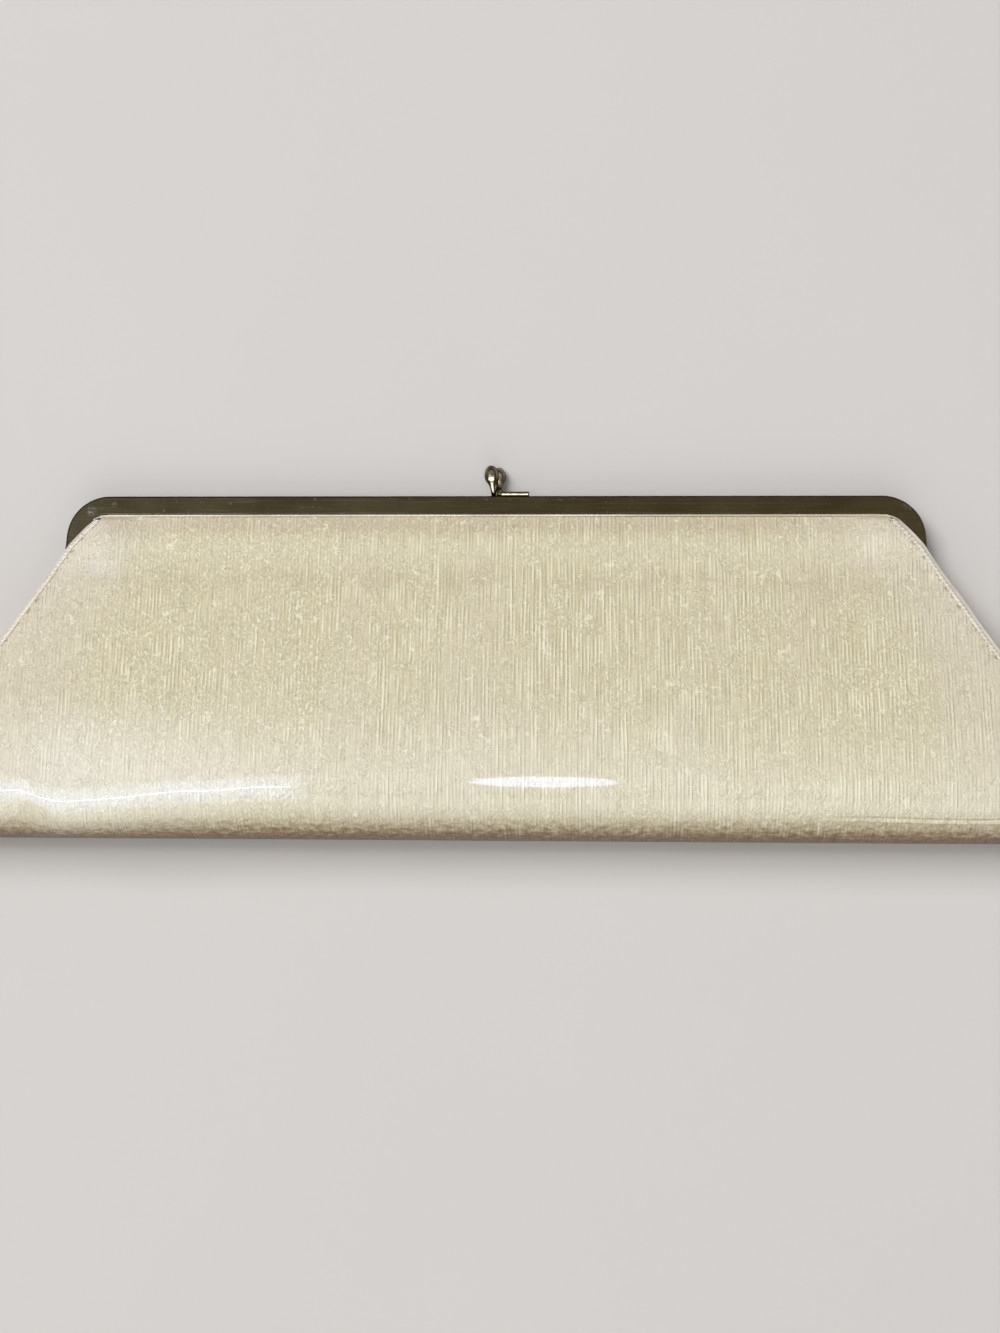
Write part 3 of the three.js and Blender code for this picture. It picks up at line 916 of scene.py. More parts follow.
@dataclass(frozen=True)
class StitchThread:
    """Twisted cotton thread of the overcasting and the piping, darkened towards the right by a share with
    painted shade.
    """

    light: Colour = (0.93, 0.90, 0.82)
    dark: Colour = (0.75, 0.70, 0.59)
    right_share: float = 1.0
    fibre_grain: float = 2600.0
    fibre_share: Ramp = (0.25, 0.7, 0.55, 1.0)
    age_grain: float = 70.0
    age_share: Ramp = (0.3, 0.65, 0.6, 1.0)
    duller: Span = (0.02, 0.06)
    roughness: Ramp = (0.3, 0.7, 0.6, 0.8)
    relief_depth: float = 0.00006

    def make(self, name: str) -> bpy.types.Material:
        """Make the material.

        Args:
            name: Name of the material.

        Returns:
            The material.
        """
        mix = Recipe(name)
        place = mix.place()
        across, _, _ = mix.parts(place)
        fibres = mix.grain(place, self.fibre_grain, 1.0)
        age = mix.grain(place, self.age_grain)
        share = mix.times(mix.fade(fibres, *self.fibre_share), mix.fade(age, *self.age_share))
        # Painted shade: darker towards the right.
        share = mix.times(share, mix.fade(across, *self.duller, 1.0, self.right_share))
        mix.surface(
            base_color=mix.mix(share, self.dark, self.light),
            roughness=mix.fade(fibres, *self.roughness),
            normal=mix.relief(fibres, self.relief_depth),
        )
        return mix.material


@dataclass(frozen=True)
class ClearMargin:
    """Clear vinyl that stands out past the stitching, clouded with age."""

    light: Colour = (0.76, 0.70, 0.61)
    dark: Colour = (0.64, 0.58, 0.49)
    cloud_grain: float = 260.0
    roughness: Ramp = (0.3, 0.7, 0.35, 0.5)
    cover: Ramp = (0.3, 0.7, 0.55, 0.85)

    def make(self) -> bpy.types.Material:
        """Make the material.

        Returns:
            The material.
        """
        mix = Recipe("clear_margin")
        cloud = mix.grain(mix.place(), self.cloud_grain)
        mix.surface(
            base_color=mix.mix(cloud, self.light, self.dark),
            roughness=mix.fade(cloud, *self.roughness),
            alpha=mix.fade(cloud, *self.cover),
        )
        return mix.material


@dataclass(frozen=True)
class FoldedCloth:
    """Plain cream cloth of the side walls."""

    light: Colour = (0.60, 0.535, 0.385)
    dark: Colour = (0.42, 0.36, 0.235)
    rib_pitch: float = 0.0011
    rib_wander: float = 2.0
    rib_height: float = 0.4
    strand_grain: Place = (900.0, 60.0, 1.0)
    strand_height: Ramp = (0.3, 0.7, 0.0, 0.6)
    age_grain: float = 45.0
    age_share: Ramp = (0.4, 0.7, 0.0, 0.5)
    roughness: Ramp = (0.0, 1.0, 0.62, 0.48)
    relief_depth: float = 0.00014
    gloss: float = 0.35
    gloss_roughness: float = 0.25

    def make(self) -> bpy.types.Material:
        """Make the material.

        Returns:
            The material.
        """
        mix = Recipe("folded_cloth")
        cloth = mix.map_of("cloth")
        ribs = mix.times(mix.ribs(cloth, self.rib_pitch, self.rib_wander), self.rib_height)
        strands = mix.cloud(mix.stretched(cloth, self.strand_grain), 1.0)
        weave = mix.plus(ribs, mix.fade(strands, *self.strand_height))
        age = mix.fade(mix.cloud(cloth, self.age_grain, 3.0), *self.age_share)
        mix.surface(
            base_color=mix.mix(age, mix.mix(weave, self.dark, self.light), self.dark),
            roughness=mix.fade(weave, *self.roughness),
            normal=mix.relief(weave, self.relief_depth),
            coat_weight=self.gloss,
            coat_roughness=self.gloss_roughness,
        )
        return mix.material


@dataclass(frozen=True)
class AgedBrass:
    """Brass gone dark olive, with rubbed spots and fine scratches."""

    tarnish: Colour = (0.093, 0.0710, 0.0315)
    brown: Colour = (0.067, 0.0480, 0.0195)
    rubbed: Colour = (0.27, 0.24, 0.16)
    cloud_grain: float = 42.0
    brown_share: Span = (0.35, 0.65)
    brush_grain: Place = (60.0, 2400.0, 2400.0)
    brush_share: Ramp = (0.45, 0.75, 0.0, 0.16)
    speck_grain: float = 900.0
    speck_share: Ramp = (0.66, 0.74, 0.0, 0.35)
    wear_grain: float = 1500.0
    wear_share: Span = (0.42, 0.62)
    roughness: Ramp = (0.3, 0.7, 0.25, 0.30)
    relief_depth: float = 0.000005

    def make(self, spots: Sequence[Spot]) -> bpy.types.Material:
        """Make the material.

        Args:
            spots: Places in metres where the tarnish is rubbed through, each with its reach.

        Returns:
            The material.
        """
        mix = Recipe("aged_brass")
        place = mix.place()
        cloudy = mix.grain(place, self.cloud_grain, 4.0)
        brushed = mix.grain(mix.stretched(place, self.brush_grain), 1.0)
        worn = mix.fade(mix.grain(place, self.wear_grain), *self.wear_share)
        rub_and_sheen = mix.fade(mix.grain(place, self.speck_grain), *self.speck_share)
        for spot, reach in spots:
            rub_and_sheen = mix.most(rub_and_sheen, mix.times(mix.near(place, tuple(spot), reach), worn))
        colour = mix.mix(mix.fade(cloudy, *self.brown_share), self.tarnish, self.brown)
        colour = mix.mix(mix.fade(brushed, *self.brush_share), colour, self.rubbed)
        mix.surface(
            base_color=mix.mix(rub_and_sheen, colour, self.rubbed),
            metallic=1.0,
            roughness=mix.fade(cloudy, *self.roughness),
            normal=mix.relief(brushed, self.relief_depth),
        )
        return mix.material


@dataclass(frozen=True)
class HandledBrass:
    """Brass kept bright by handling, with olive tarnish in places."""

    bright: Colour = (0.32, 0.280, 0.200)
    tarnish: Colour = (0.155, 0.127, 0.080)
    rim: Colour = (0.12, 0.105, 0.08)
    dull: Colour = (0.060, 0.052, 0.037)
    dull_share: float = 0.85
    cloud_grain: float = 420.0
    tarnish_share: Span = (0.38, 0.62)
    scuff_grain: Place = (900.0, 5200.0, 3000.0)
    roughness: Ramp = (0.3, 0.7, 0.18, 0.27)
    relief_depth: float = 0.000004

    def make(self, spots: Sequence[Spot]) -> bpy.types.Material:
        """Make the material.

        Args:
            spots: Places in metres where no hand rubs it bright, each with its reach.

        Returns:
            The material.
        """
        mix = Recipe("handled_brass")
        place = mix.place()
        cloudy = mix.grain(place, self.cloud_grain, 3.0)
        scuffs = mix.grain(mix.stretched(place, self.scuff_grain), 1.0)
        colour = mix.mix(mix.fade(cloudy, *self.tarnish_share), self.bright, self.tarnish)
        for spot, reach in spots:
            share = mix.times(mix.near(place, tuple(spot), reach), self.dull_share)
            colour = mix.mix(share, colour, self.dull)
        mix.surface(
            base_color=colour,
            metallic=1.0,
            specular_tint=self.rim,
            roughness=mix.fade(cloudy, *self.roughness),
            normal=mix.relief(scuffs, self.relief_depth),
        )
        return mix.material


@dataclass(frozen=True)
class PaleFloor:
    """Matt pale floor with a faint unevenness."""

    light: Colour = (0.622, 0.597, 0.580)
    dark: Colour = (0.602, 0.577, 0.560)
    broad_grain: float = 9.0
    fine_grain: float = 600.0
    roughness: Ramp = (0.3, 0.7, 0.85, 0.95)
    relief_depth: float = 0.00002
    specular: float = 0.1

    def make(self) -> bpy.types.Material:
        """Make the material.

        Returns:
            The material.
        """
        mix = Recipe("pale_floor")
        place = mix.place()
        fine = mix.grain(place, self.fine_grain)
        mix.surface(
            base_color=mix.mix(mix.grain(place, self.broad_grain, 3.0), self.dark, self.light),
            roughness=mix.fade(fine, *self.roughness),
            specular_ior_level=self.specular,
            normal=mix.relief(fine, self.relief_depth),
        )
        return mix.material


# Shape of the body


@dataclass(frozen=True)
class Station:
    """One line across the cover."""

    stretch: Stretch
    drop: float
    angle: float = 0.0


@dataclass(frozen=True)
class ClutchShape:
    """Outline and section of the clutch, shared by all its pieces."""

    body_drop: float = 95.7
    roll_radius: float = 15.0
    cover_half: float = 160.3
    cover_wall: float = 1.2
    side_flare: float = 0.655
    crown: float = 0.8
    top_drop: float = 2.4
    fine_drop: float = 60.0
    origin_drop: float = 43.23

    # Upper corners, which pass over the frame's arms
    corner_start: float = 97.0
    corner_end: float = 110.8
    corner_lift: float = 2.4
    lift_peak_drop: float = 7.9
    lift_end_drop: float = 22.9
    welt_top_drop: float = 6.5
    back_ease: float = 6.5
    back_corner_ease: float = 2.3

    # Frame
    frame_tilt: float = math.radians(8.3)
    frame_lift: float = 4.6
    frame_face: float = 4.0
    lip_drop: float = 5.2
    channel_panel: float = 2.8
    bar_half: float = 108.5
    corner_radius: float = 12.0
    hinge_drop: float = 24.5

    # Slump of the crest, and the pressed fold low on the right
    slump_run: float = 20.0
    slump_end: float = math.radians(78)
    crease_angle: float = math.radians(29.5)
    crease_start: float = 84.0
    crease_full: float = 114.0
    crease_sway: float = math.radians(1.2)
    crease_run: float = 9.0
    groove_depth: float = 0.30
    groove_width: float = math.radians(1.4)
    ridge_height: float = 0.24
    ridge_angle: float = math.radians(3.4)
    ridge_width: float = math.radians(1.6)
    fine_start: float = math.radians(23)
    fine_end: float = math.radians(40)

    # Drop and half width of the cover, from the channel to the straight sides.
    neck: tuple[Span, ...] = (
        (2.4, 106.0),
        (4.6, 107.4),
        (5.2, 109.8),
        (5.8, 110.6),
        (6.4, 110.75),
        (7.1, 110.9),
        (9.9, 113.7),
        (14.4, 117.9),
    )

    # Place along X, and how far past the roll's top its flat crest has slumped.
    crest: tuple[Span, ...] = (
        (-160.0, 0.4),
        (-133.0, 1.2),
        (-127.0, 1.3),
        (-122.3, 3.1),
        (-116.4, 4.3),
        (-109.4, 3.9),
        (-100.0, 3.2),
        (-91.7, 2.2),
        (-83.5, 1.3),
        (-74.2, 1.15),
        (-68.3, 0.5),
        (-60.0, 0.0),
        (160.0, 0.0),
    )

    @property
    def roll_drop(self) -> float:
        """Drop of the base roll's middle."""
        return self.body_drop - self.roll_radius

    @property
    def front_lip(self) -> Span:
        """Drop and height at which the front panel leaves its channel."""
        return self.in_body(self.lip_drop, self.channel_panel)

    @property
    def back_lip(self) -> Span:
        """Drop and height at which the back panel leaves its channel."""
        return self.in_body(self.lip_drop, -self.channel_panel)

    @property
    def panel_slope(self) -> float:
        """Angle of the front panel.

        Returns:
            The angle at which it rises to meet the base roll without a kink.
        """
        drop, height = self.front_lip
        along, up = self.roll_drop - drop, self.roll_radius - height
        return math.atan2(up, along) + math.asin(self.roll_radius / math.hypot(along, up))

    @property
    def tangent_drop(self) -> float:
        """Drop at which the front panel meets the base roll."""
        return self.roll_drop - self.roll_radius * math.sin(self.panel_slope)

    def place(self, x: float, drop: float, height: float) -> Vector:
        """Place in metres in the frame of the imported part."""
        return Vector((x, self.origin_drop - drop, height)) * MM

    def in_body(self, drop: float, height: float) -> Span:
        """Drop and height in the body's terms of a place in the frame's own plane."""
        sine, cosine = math.sin(self.frame_tilt), math.cos(self.frame_tilt)
        return drop * cosine - height * sine, self.frame_lift + drop * sine + height * cosine

    def in_frame(self, x: float, drop: float, height: float) -> Vector:
        """Place in metres of a place in the frame's own plane."""
        return self.place(x, *self.in_body(drop, height))

    def half_width(self, drop: float) -> float:
        """Half width of the cover.

        Args:
            drop: Where it is measured.

        Returns:
            The distance from the middle to the side edge.
        """
        end, width = self.neck[-1]
        if drop < end:
            return spline(self.neck, drop)[0]
        return min(width + self.side_flare * (drop - end), self.cover_half)

    def corner_share(self, x: float) -> float:
        """1 at the panels' upper corners, which pass over the frame's arms, and 0 between them."""
        return smoothstep(abs(x), self.corner_start, self.corner_end)

    def swell(self, x: float, drop: float) -> float:
        """Lift of the front panel and the roll's upper half by the stuffing.

        Args:
            x: Place along the frame.
            drop: Place down the clutch.

        Returns:
            How far it lifts.
        """
        lip_drop, _ = self.front_lip
        along = clamp((drop - lip_drop) / (self.body_drop - lip_drop))
        return self.crown * math.sin(math.pi * along) * (1 - (x / self.half_width(drop)) ** 2)

    def front_height(self, x: float, drop: float) -> float:
        """Height of the front panel, with its swell and its raised upper corners.

        Args:
            x: Place along the frame.
            drop: Place down the clutch.

        Returns:
            The height over the floor.
        """
        lip_drop, lip_height = self.front_lip
        past = drop - lip_drop
        if past <= 0:
            return lip_height + math.tan(self.frame_tilt) * past
        rise = smoothstep(drop, lip_drop, self.welt_top_drop)
        fall = clamp((self.lift_end_drop - drop) / (self.lift_end_drop - self.lift_peak_drop))
        lift = self.corner_lift * rise * fall * self.corner_share(x)
        return lip_height + math.tan(self.panel_slope) * past + lift + self.swell(x, drop)

    def back_height(self, x: float, drop: float) -> float:
        """Height of the back panel, which lies flat below the frame.

        Args:
            x: Place along the frame.
            drop: Place down the clutch.

        Returns:
            The height over the floor.
        """
        lip_drop, lip_height = self.back_lip
        past = drop - lip_drop
        if past < 0:
            return lip_height + math.tan(self.frame_tilt) * past
        middle, corner = (1 - smoothstep(past, 0, ease) for ease in (self.back_ease, self.back_corner_ease))
        return lip_height * lerp(middle, corner, self.corner_share(x))

    def slump(self, station: Station, x: float) -> float:
        """Slump of the cover near the roll's top.

        Args:
            station: A line across the cover.
            x: Place along it.

        Returns:
            How far the place is carried down the clutch.
        """
        amount = spline(self.crest, x)[0]
        if station.stretch is Stretch.BASE_ROLL and station.angle > 0:
            return amount * (1 - smoothstep(station.angle, 0, self.slump_end))
        if station.stretch is Stretch.BACK_PANEL:
            return 0.0
        return amount * smoothstep(station.drop, self.tangent_drop - self.slump_run, self.roll_drop)

    def crease(self, station: Station, x: float) -> float:
        """Pressed fold low on the right, with the ridge beside it.

        Args:
            station: A line across the cover.
            x: Place along it.

        Returns:
            The depth of the fold, less than 0 on the ridge.
        """
        if station.stretch is not Stretch.BASE_ROLL:
            return 0.0
        angle = station.angle - self.crease_angle - self.crease_sway * math.sin(x / self.crease_run)
        groove = self.groove_depth * bell(angle, 0, self.groove_width)
        ridge = self.ridge_height * bell(angle, self.ridge_angle, self.ridge_width)
        return (groove - ridge) * smoothstep(x, self.crease_start, self.crease_full)

    def outer(self, station: Station, x: float) -> Span:
        """Outer face of the cover.

        Args:
            station: A line across the cover.
            x: Place along it.

        Returns:
            Drop and height of the place.
        """
        drop = station.drop + self.slump(station, x)
        if station.stretch is Stretch.FRONT_PANEL:
            return drop, self.front_height(x, station.drop)
        if station.stretch is Stretch.BACK_PANEL:
            return drop, self.back_height(x, station.drop)
        depth = self.crease(station, x)
        height = self.roll_radius * (1 + math.cos(station.angle)) - depth * math.cos(station.angle)
        if station.angle < math.pi / 2:
            height += self.swell(x, station.drop)
        return drop - depth * math.sin(station.angle), height

    def stations(self) -> list[Station]:
        """Lay lines across the cover, closer together where it bends.

        Returns:
            The lines, from the front channel over the base roll to the back channel.
        """
        top, end = self.top_drop, self.neck[-1][0]
        lip, back_lip = self.front_lip[0], self.back_lip[0]
        front = runs((top, lip, 3), (lip, end, 24), (end, self.fine_drop, 34),
                     (self.fine_drop, self.tangent_drop, 22))
        turn = runs((-self.panel_slope, self.fine_start, 36), (self.fine_start, self.fine_end, 26),
                    (self.fine_end, math.pi, 48))
        back = runs((self.roll_drop, end, 30), (end, back_lip, 20), (back_lip, top, 3))
        found = [Station(Stretch.FRONT_PANEL, drop) for drop in front]
        for angle in turn:
            drop = self.roll_drop + self.roll_radius * math.sin(angle)
            found.append(Station(Stretch.BASE_ROLL, drop, angle))
        return found + [Station(Stretch.BACK_PANEL, drop) for drop in [*back, top]]

    def outward(self, stations: Sequence[Station], k: int) -> Vector:
        """Direction out of the cover in its middle.

        Args:
            stations: Lines across the cover.
            k: Number of one of them.

        Returns:
            A unit vector.
        """
        before = self.outer(stations[max(0, k - 1)], 0.0)
        after = self.outer(stations[min(len(stations) - 1, k + 1)], 0.0)
        return Vector((0.0, after[1] - before[1], after[0] - before[0])).normalized()


@dataclass(frozen=True)
class EdgePoint:
    """A point on the cover's side edge, with the directions round it."""

    place: Vector
    along: Vector
    out: Vector
    aside: Vector

    def toward(self, other: "EdgePoint", share: float) -> "EdgePoint":
        """A point between this one and the next.

        Args:
            other: The next point.
            share: How far towards it.

        Returns:
            The new point.
        """
        pairs = ((self.along, other.along), (self.out, other.out), (self.aside, other.aside))
        directions = (here.lerp(there, share).normalized() for here, there in pairs)
        return EdgePoint(self.place.lerp(other.place, share), *directions)


@dataclass(frozen=True)
class Cover:
    """One wrap of vinyl-faced cloth: front panel, base roll and back panel."""

    shape: ClutchShape
    columns: int = 138
    side_crowding: float = 0.45
    clean_down: float = 60.0

    def shares(self) -> list[float]:
        """Places across the cover from -1 to 1, closer together near its sides."""
        evenly = [*steps(-1, 1, self.columns), 1]
        return [lerp(t, math.sin(math.pi / 2 * t), self.side_crowding) for t in evenly]

    def rows(self) -> tuple[list[Ring], list[Ring]]:
        """Rows of points across the cover.

        Returns:
            The rows of the outer face and of the inner face, in metres.
        """
        stations = self.shape.stations()
        outer, inner = [], []
        for k, station in enumerate(stations):
            half = self.shape.half_width(station.drop)
            out = self.shape.outward(stations, k)
            places = [share * half for share in self.shares()]
            row = [self.shape.place(x, *self.shape.outer(station, x)) for x in places]
            outer.append(row)
            inner.append([point - out * self.shape.cover_wall * MM for point in row])
        return outer, inner

    def maps(self, outer: Sequence[Ring]) -> tuple[list[Span], list[Span]]:
        """Flat maps of the cover, for its outer face and then its inner face, which stays clean.

        Args:
            outer: Rows of the outer face.

        Returns:
            The map of the cloth's threads, and the map of the distance from its side edges.
        """
        middle = [row[len(row) // 2] for row in outer]
        cloth, edge = [], []
        down = 0.0
        for k, row in enumerate(outer):
            if k:
                down += (middle[k] - middle[k - 1]).length
            half = row[-1].x
            cloth += [(point.x, down) for point in row]
            edge += [(half - abs(point.x), down) for point in row]
        inside = [(x, min(far, self.clean_down * MM)) for x, far in cloth]
        return cloth + inside, edge * 2

    def edge(self, side: Side) -> list[EdgePoint]:
        """Side edge of the cover below the frame, midway through the cloth.

        Args:
            side: Which edge.

        Returns:
            Points along the edge, from the front panel to the back panel.
        """
        shape, stations = self.shape, self.shape.stations()
        kept = [k for k, station in enumerate(stations) if station.drop >= shape.welt_top_drop]
        outs = [shape.outward(stations, k) for k in kept]
        places = []
        for k, out in zip(kept, outs):
            x = side.value * shape.half_width(stations[k].drop)
            places.append(shape.place(x, *shape.outer(stations[k], x)) - out * shape.cover_wall / 2 * MM)
        found = []
        for i, (place, out) in enumerate(zip(places, outs)):
            along = (places[min(len(places) - 1, i + 1)] - places[max(0, i - 1)]).normalized()
            aside = along.cross(out).normalized()
            aside *= math.copysign(1.0, aside.x) * side.value
            found.append(EdgePoint(place, along, out, aside))
        return found

    def build(self, look: bpy.types.Material) -> bpy.types.Object:
        """Make the cover and give it its cloth.

        Args:
            look: The cloth's material.

        Returns:
            The cover.
        """
        outer, inner = self.rows()
        piece = shell_piece("cover_cloth", outer, inner)
        cloth, edge = self.maps(outer)
        lay_map(piece, "cloth", cloth)
        lay_map(piece, "edge", edge)
        settle(piece, look, "vinyl_cloth", "cover")
        return piece


def evenly_along(points: Sequence[EdgePoint], step: float) -> list[EdgePoint]:
    """Edge points at even steps.

    Args:
        points: Edge points at any spacing.
        step: The wanted spacing, in metres.

    Returns:
        New edge points.
    """
    found = []
    walked, due = 0.0, 0.0
    for before, after in zip(points, points[1:]):
        span = (after.place - before.place).length
        while due <= walked + span:
            found.append(before.toward(after, (due - walked) / span))
            due += step
        walked += span
    return found


@dataclass(frozen=True)
class SideSeam:
    """Rolled and overcast side edge of the cover, with the clear vinyl left outside the stitches."""

    cover: Cover
    side: Side
    margin_width: float
    half_thick: float = 0.58
    half_wide: float = 0.70
    gap: float = 0.02
    roll_sides: int = 12
    roll_step: float = 0.2
    pinch: float = 0.10
    stitch_pitch: float = 1.3
    thread_radius: float = 0.24
    thread_sides: int = 6
    thread_stand: float = 0.6
    thread_uneven: float = 0.35
    stitch_uneven: float = 0.3
    uneven_step: float = 0.73
    uneven_lane: float = 4.1
    pressed: float = 0.45
    pressed_tilt: Span = (0.3, 0.8)
    margin_half_thick: float = 0.12
    margin_start: float = 0.7
    margin_step: float = 0.8
    margin_waver: float = 0.15
    waver_run: float = 3.7
    margin_curl: float = 0.12
    curl_run: float = 5.3

    # Places along one stitch: across in half widths of the roll, ahead in mm, and up as a share of its top.
    stitch_route: tuple[Place, ...] = (
        (-1.05, -0.24, 0.30),
        (-0.75, -0.16, 0.85),
        (-0.25, 0.0, 1.0),
        (0.25, 0.14, 0.92),
        (0.60, 0.24, 0.45),
    )

    @property
    def offset(self) -> float:
        """Distance from the cover's edge to the middle of the roll."""
        return self.gap + self.half_wide

    def edge(self, step: float) -> list[EdgePoint]:
        """Points at even steps along the cover's edge."""
        return evenly_along(self.cover.edge(self.side), step * MM)

    def roll_ring(self, point: EdgePoint, walked: float) -> Ring:
        """One ring of the rolled edge, pinched by its stitches.

        Args:
            point: Its place on the cover's edge.
            walked: Distance along the edge.

        Returns:
            The ring.
        """
        centre = point.place + point.aside * self.offset * MM
        phase = 2 * math.pi * walked / self.stitch_pitch
        ring = []
        for angle in full_turn(self.roll_sides):
            reach = 1 - self.pinch + self.pinch * math.cos(phase - angle)
            wide = self.half_wide * math.cos(angle) * reach
            thick = self.half_thick * math.sin(angle) * reach
            ring.append(centre + (point.aside * wide + point.out * thick) * MM)
        return ring

    def build_roll(self, look: bpy.types.Material) -> bpy.types.Object:
        """Make the rolled edge.

        Args:
            look: Its material.

        Returns:
            The piece.
        """
        points = self.edge(self.roll_step)
        rings = [self.roll_ring(point, k * self.roll_step) for k, point in enumerate(points)]
        piece = loft_piece(f"side_welt_roll_{self.side.word}", [rings])
        return settle(piece, look, "welt_cloth", f"side_welt_{self.side.word}")

    def stitch(self, point: EdgePoint, count: int) -> list[Ring]:
        """One slanting stitch over the roll, which is not quite even.

        Args:
            point: Its place on the cover's edge.
            count: Its number along the edge.

        Returns:
            Rings of a thin thread.
        """
        uneven = noise.noise(Vector((count * self.uneven_step, self.side.value * self.uneven_lane, 0.5)))
        radius = self.thread_radius * (1 + self.thread_uneven * uneven)
        press = lerp(1.0, self.pressed, smoothstep(-point.out.z, *self.pressed_tilt))
        top = (self.half_thick + self.thread_radius * self.thread_stand) * press
        centre = point.place + point.aside * self.offset * MM
        centre += point.along * self.stitch_uneven * uneven * MM
        rings = []
        for across, ahead, up in self.stitch_route:
            step = point.aside * across * self.half_wide + point.along * ahead + point.out * up * top
            middle = centre + step * MM
            ring = []
            for angle in full_turn(self.thread_sides):
                around = point.along * math.cos(angle) + point.out * math.sin(angle)
                ring.append(middle + around * radius * MM)
            rings.append(ring)
        return rings

    def build_stitches(self, look: bpy.types.Material) -> bpy.types.Object:
        """Make the overcasting.

        Args:
            look: Its material.

        Returns:
            The piece.
        """
        threads = [self.stitch(point, k) for k, point in enumerate(self.edge(self.stitch_pitch))]
        piece = loft_piece(f"whip_stitches_{self.side.word}", threads)
        return settle(piece, look, "welt_cloth")

    def margin_ring(self, point: EdgePoint, walked: float) -> Ring:
        """One ring of the clear margin, which is not quite even.

        Args:
            point: Its place on the cover's edge.
            walked: Distance along the edge.

        Returns:
            The ring.
        """
        uneven = 1 - self.margin_waver + self.margin_waver * math.sin(walked / self.waver_run)
        start = self.offset + self.half_wide * self.margin_start
        end = self.offset + self.half_wide + self.margin_width * uneven
        curl = self.margin_curl * math.sin(walked / self.curl_run)
        ring = []
        for across, up in ((start, 1), (end, 1), (end, -1), (start, -1)):
            bend = curl * (across - start) / (end - start)
            place = point.aside * across + point.out * (up * self.margin_half_thick + bend)
            ring.append(point.place + place * MM)
        return ring

    def build_margin(self, look: bpy.types.Material) -> bpy.types.Object:
        """Make the clear margin.

        Args:
            look: Its material.

        Returns:
            The piece.
        """
        points = self.edge(self.margin_step)
        rings = [self.margin_ring(point, k * self.margin_step) for k, point in enumerate(points)]
        return settle(loft_piece(f"vinyl_margin_{self.side.word}", [rings]), look, "vinyl_cloth")


@dataclass(frozen=True)
class Gusset:
    """Cloth side wall that folds inwards below the hinge."""

    shape: ClutchShape
    side: Side
    wall: float = 1.4
    top_drop: float = 28.5
    end_drop: float = 93.7
    flat_drop: float = 84.0
    inset: float = 0.6
    gap: float = 0.3
    fold: float = 10.0
    fold_power: float = 1.4
    ripple: float = 0.35
    ripple_run: float = 7.0
    ripple_folds: float = 3.0
    ripple_lane: float = 5.0
    rows: int = 60
    columns: int = 36

    def inner_heights(self, drop: float) -> Span:
        """Heights of the cover's inner face at the sides.

        Args:
            drop: Where they are measured.

        Returns:
            The height at the front and at the back.
        """
        shape = self.shape
        radius = shape.roll_radius - shape.cover_wall
        reach = math.sqrt(max(0.0, radius**2 - (drop - shape.roll_drop) ** 2))
        lip_drop, lip_height = shape.front_lip
        flat = lip_height + math.tan(shape.panel_slope) * (drop - lip_drop)
        flat -= shape.cover_wall / math.cos(shape.panel_slope)
        front = flat if drop < shape.tangent_drop else shape.roll_radius + reach
        back = shape.cover_wall if drop < shape.roll_drop else shape.roll_radius - reach
        return front, back

    def point(self, drop: float, share: float) -> Vector:
        """Place on the outer face.

        Args:
            drop: Place down the clutch.
            share: From the front panel at 0 to the back panel at 1.

        Returns:
            The place in metres.
        """
        front, back = self.inner_heights(drop)
        fold = self.fold * (1 - smoothstep(drop, self.top_drop, self.flat_drop))
        inward = fold * (1 - abs(2 * share - 1) ** self.fold_power)
        lane = self.side.value * self.ripple_lane
        uneven = noise.noise(Vector((drop / self.ripple_run, share * self.ripple_folds, lane)))
        inward += self.ripple * (1 + uneven) * math.sin(math.pi * share)
        x = self.shape.half_width(drop) - self.inset - inward
        return self.shape.place(self.side.value * x, drop, lerp(front - self.gap, back + self.gap, share))

    def build(self, look: bpy.types.Material) -> bpy.types.Object:
        """Make the gusset and give it its cloth.

        Args:
            look: The cloth's material.

        Returns:
            The gusset.
        """
        drops = [*steps(self.top_drop, self.end_drop, self.rows), self.end_drop]
        shares = [*steps(0, 1, self.columns), 1]
        outer = [[self.point(drop, share) for share in shares] for drop in drops]
        inward = Vector((-self.side.value * self.wall * MM, 0.0, 0.0))
        inner = [[point + inward for point in row] for row in outer]
        piece = shell_piece(f"gusset_cloth_{self.side.word}", outer, inner)
        flat = [(point.z, drop * MM) for row, drop in zip(outer, drops) for point in row]
        lay_map(piece, "cloth", flat * 2)
        settle(piece, look, "gusset_cloth", f"gusset_{self.side.word}")
        return piece


# Frame


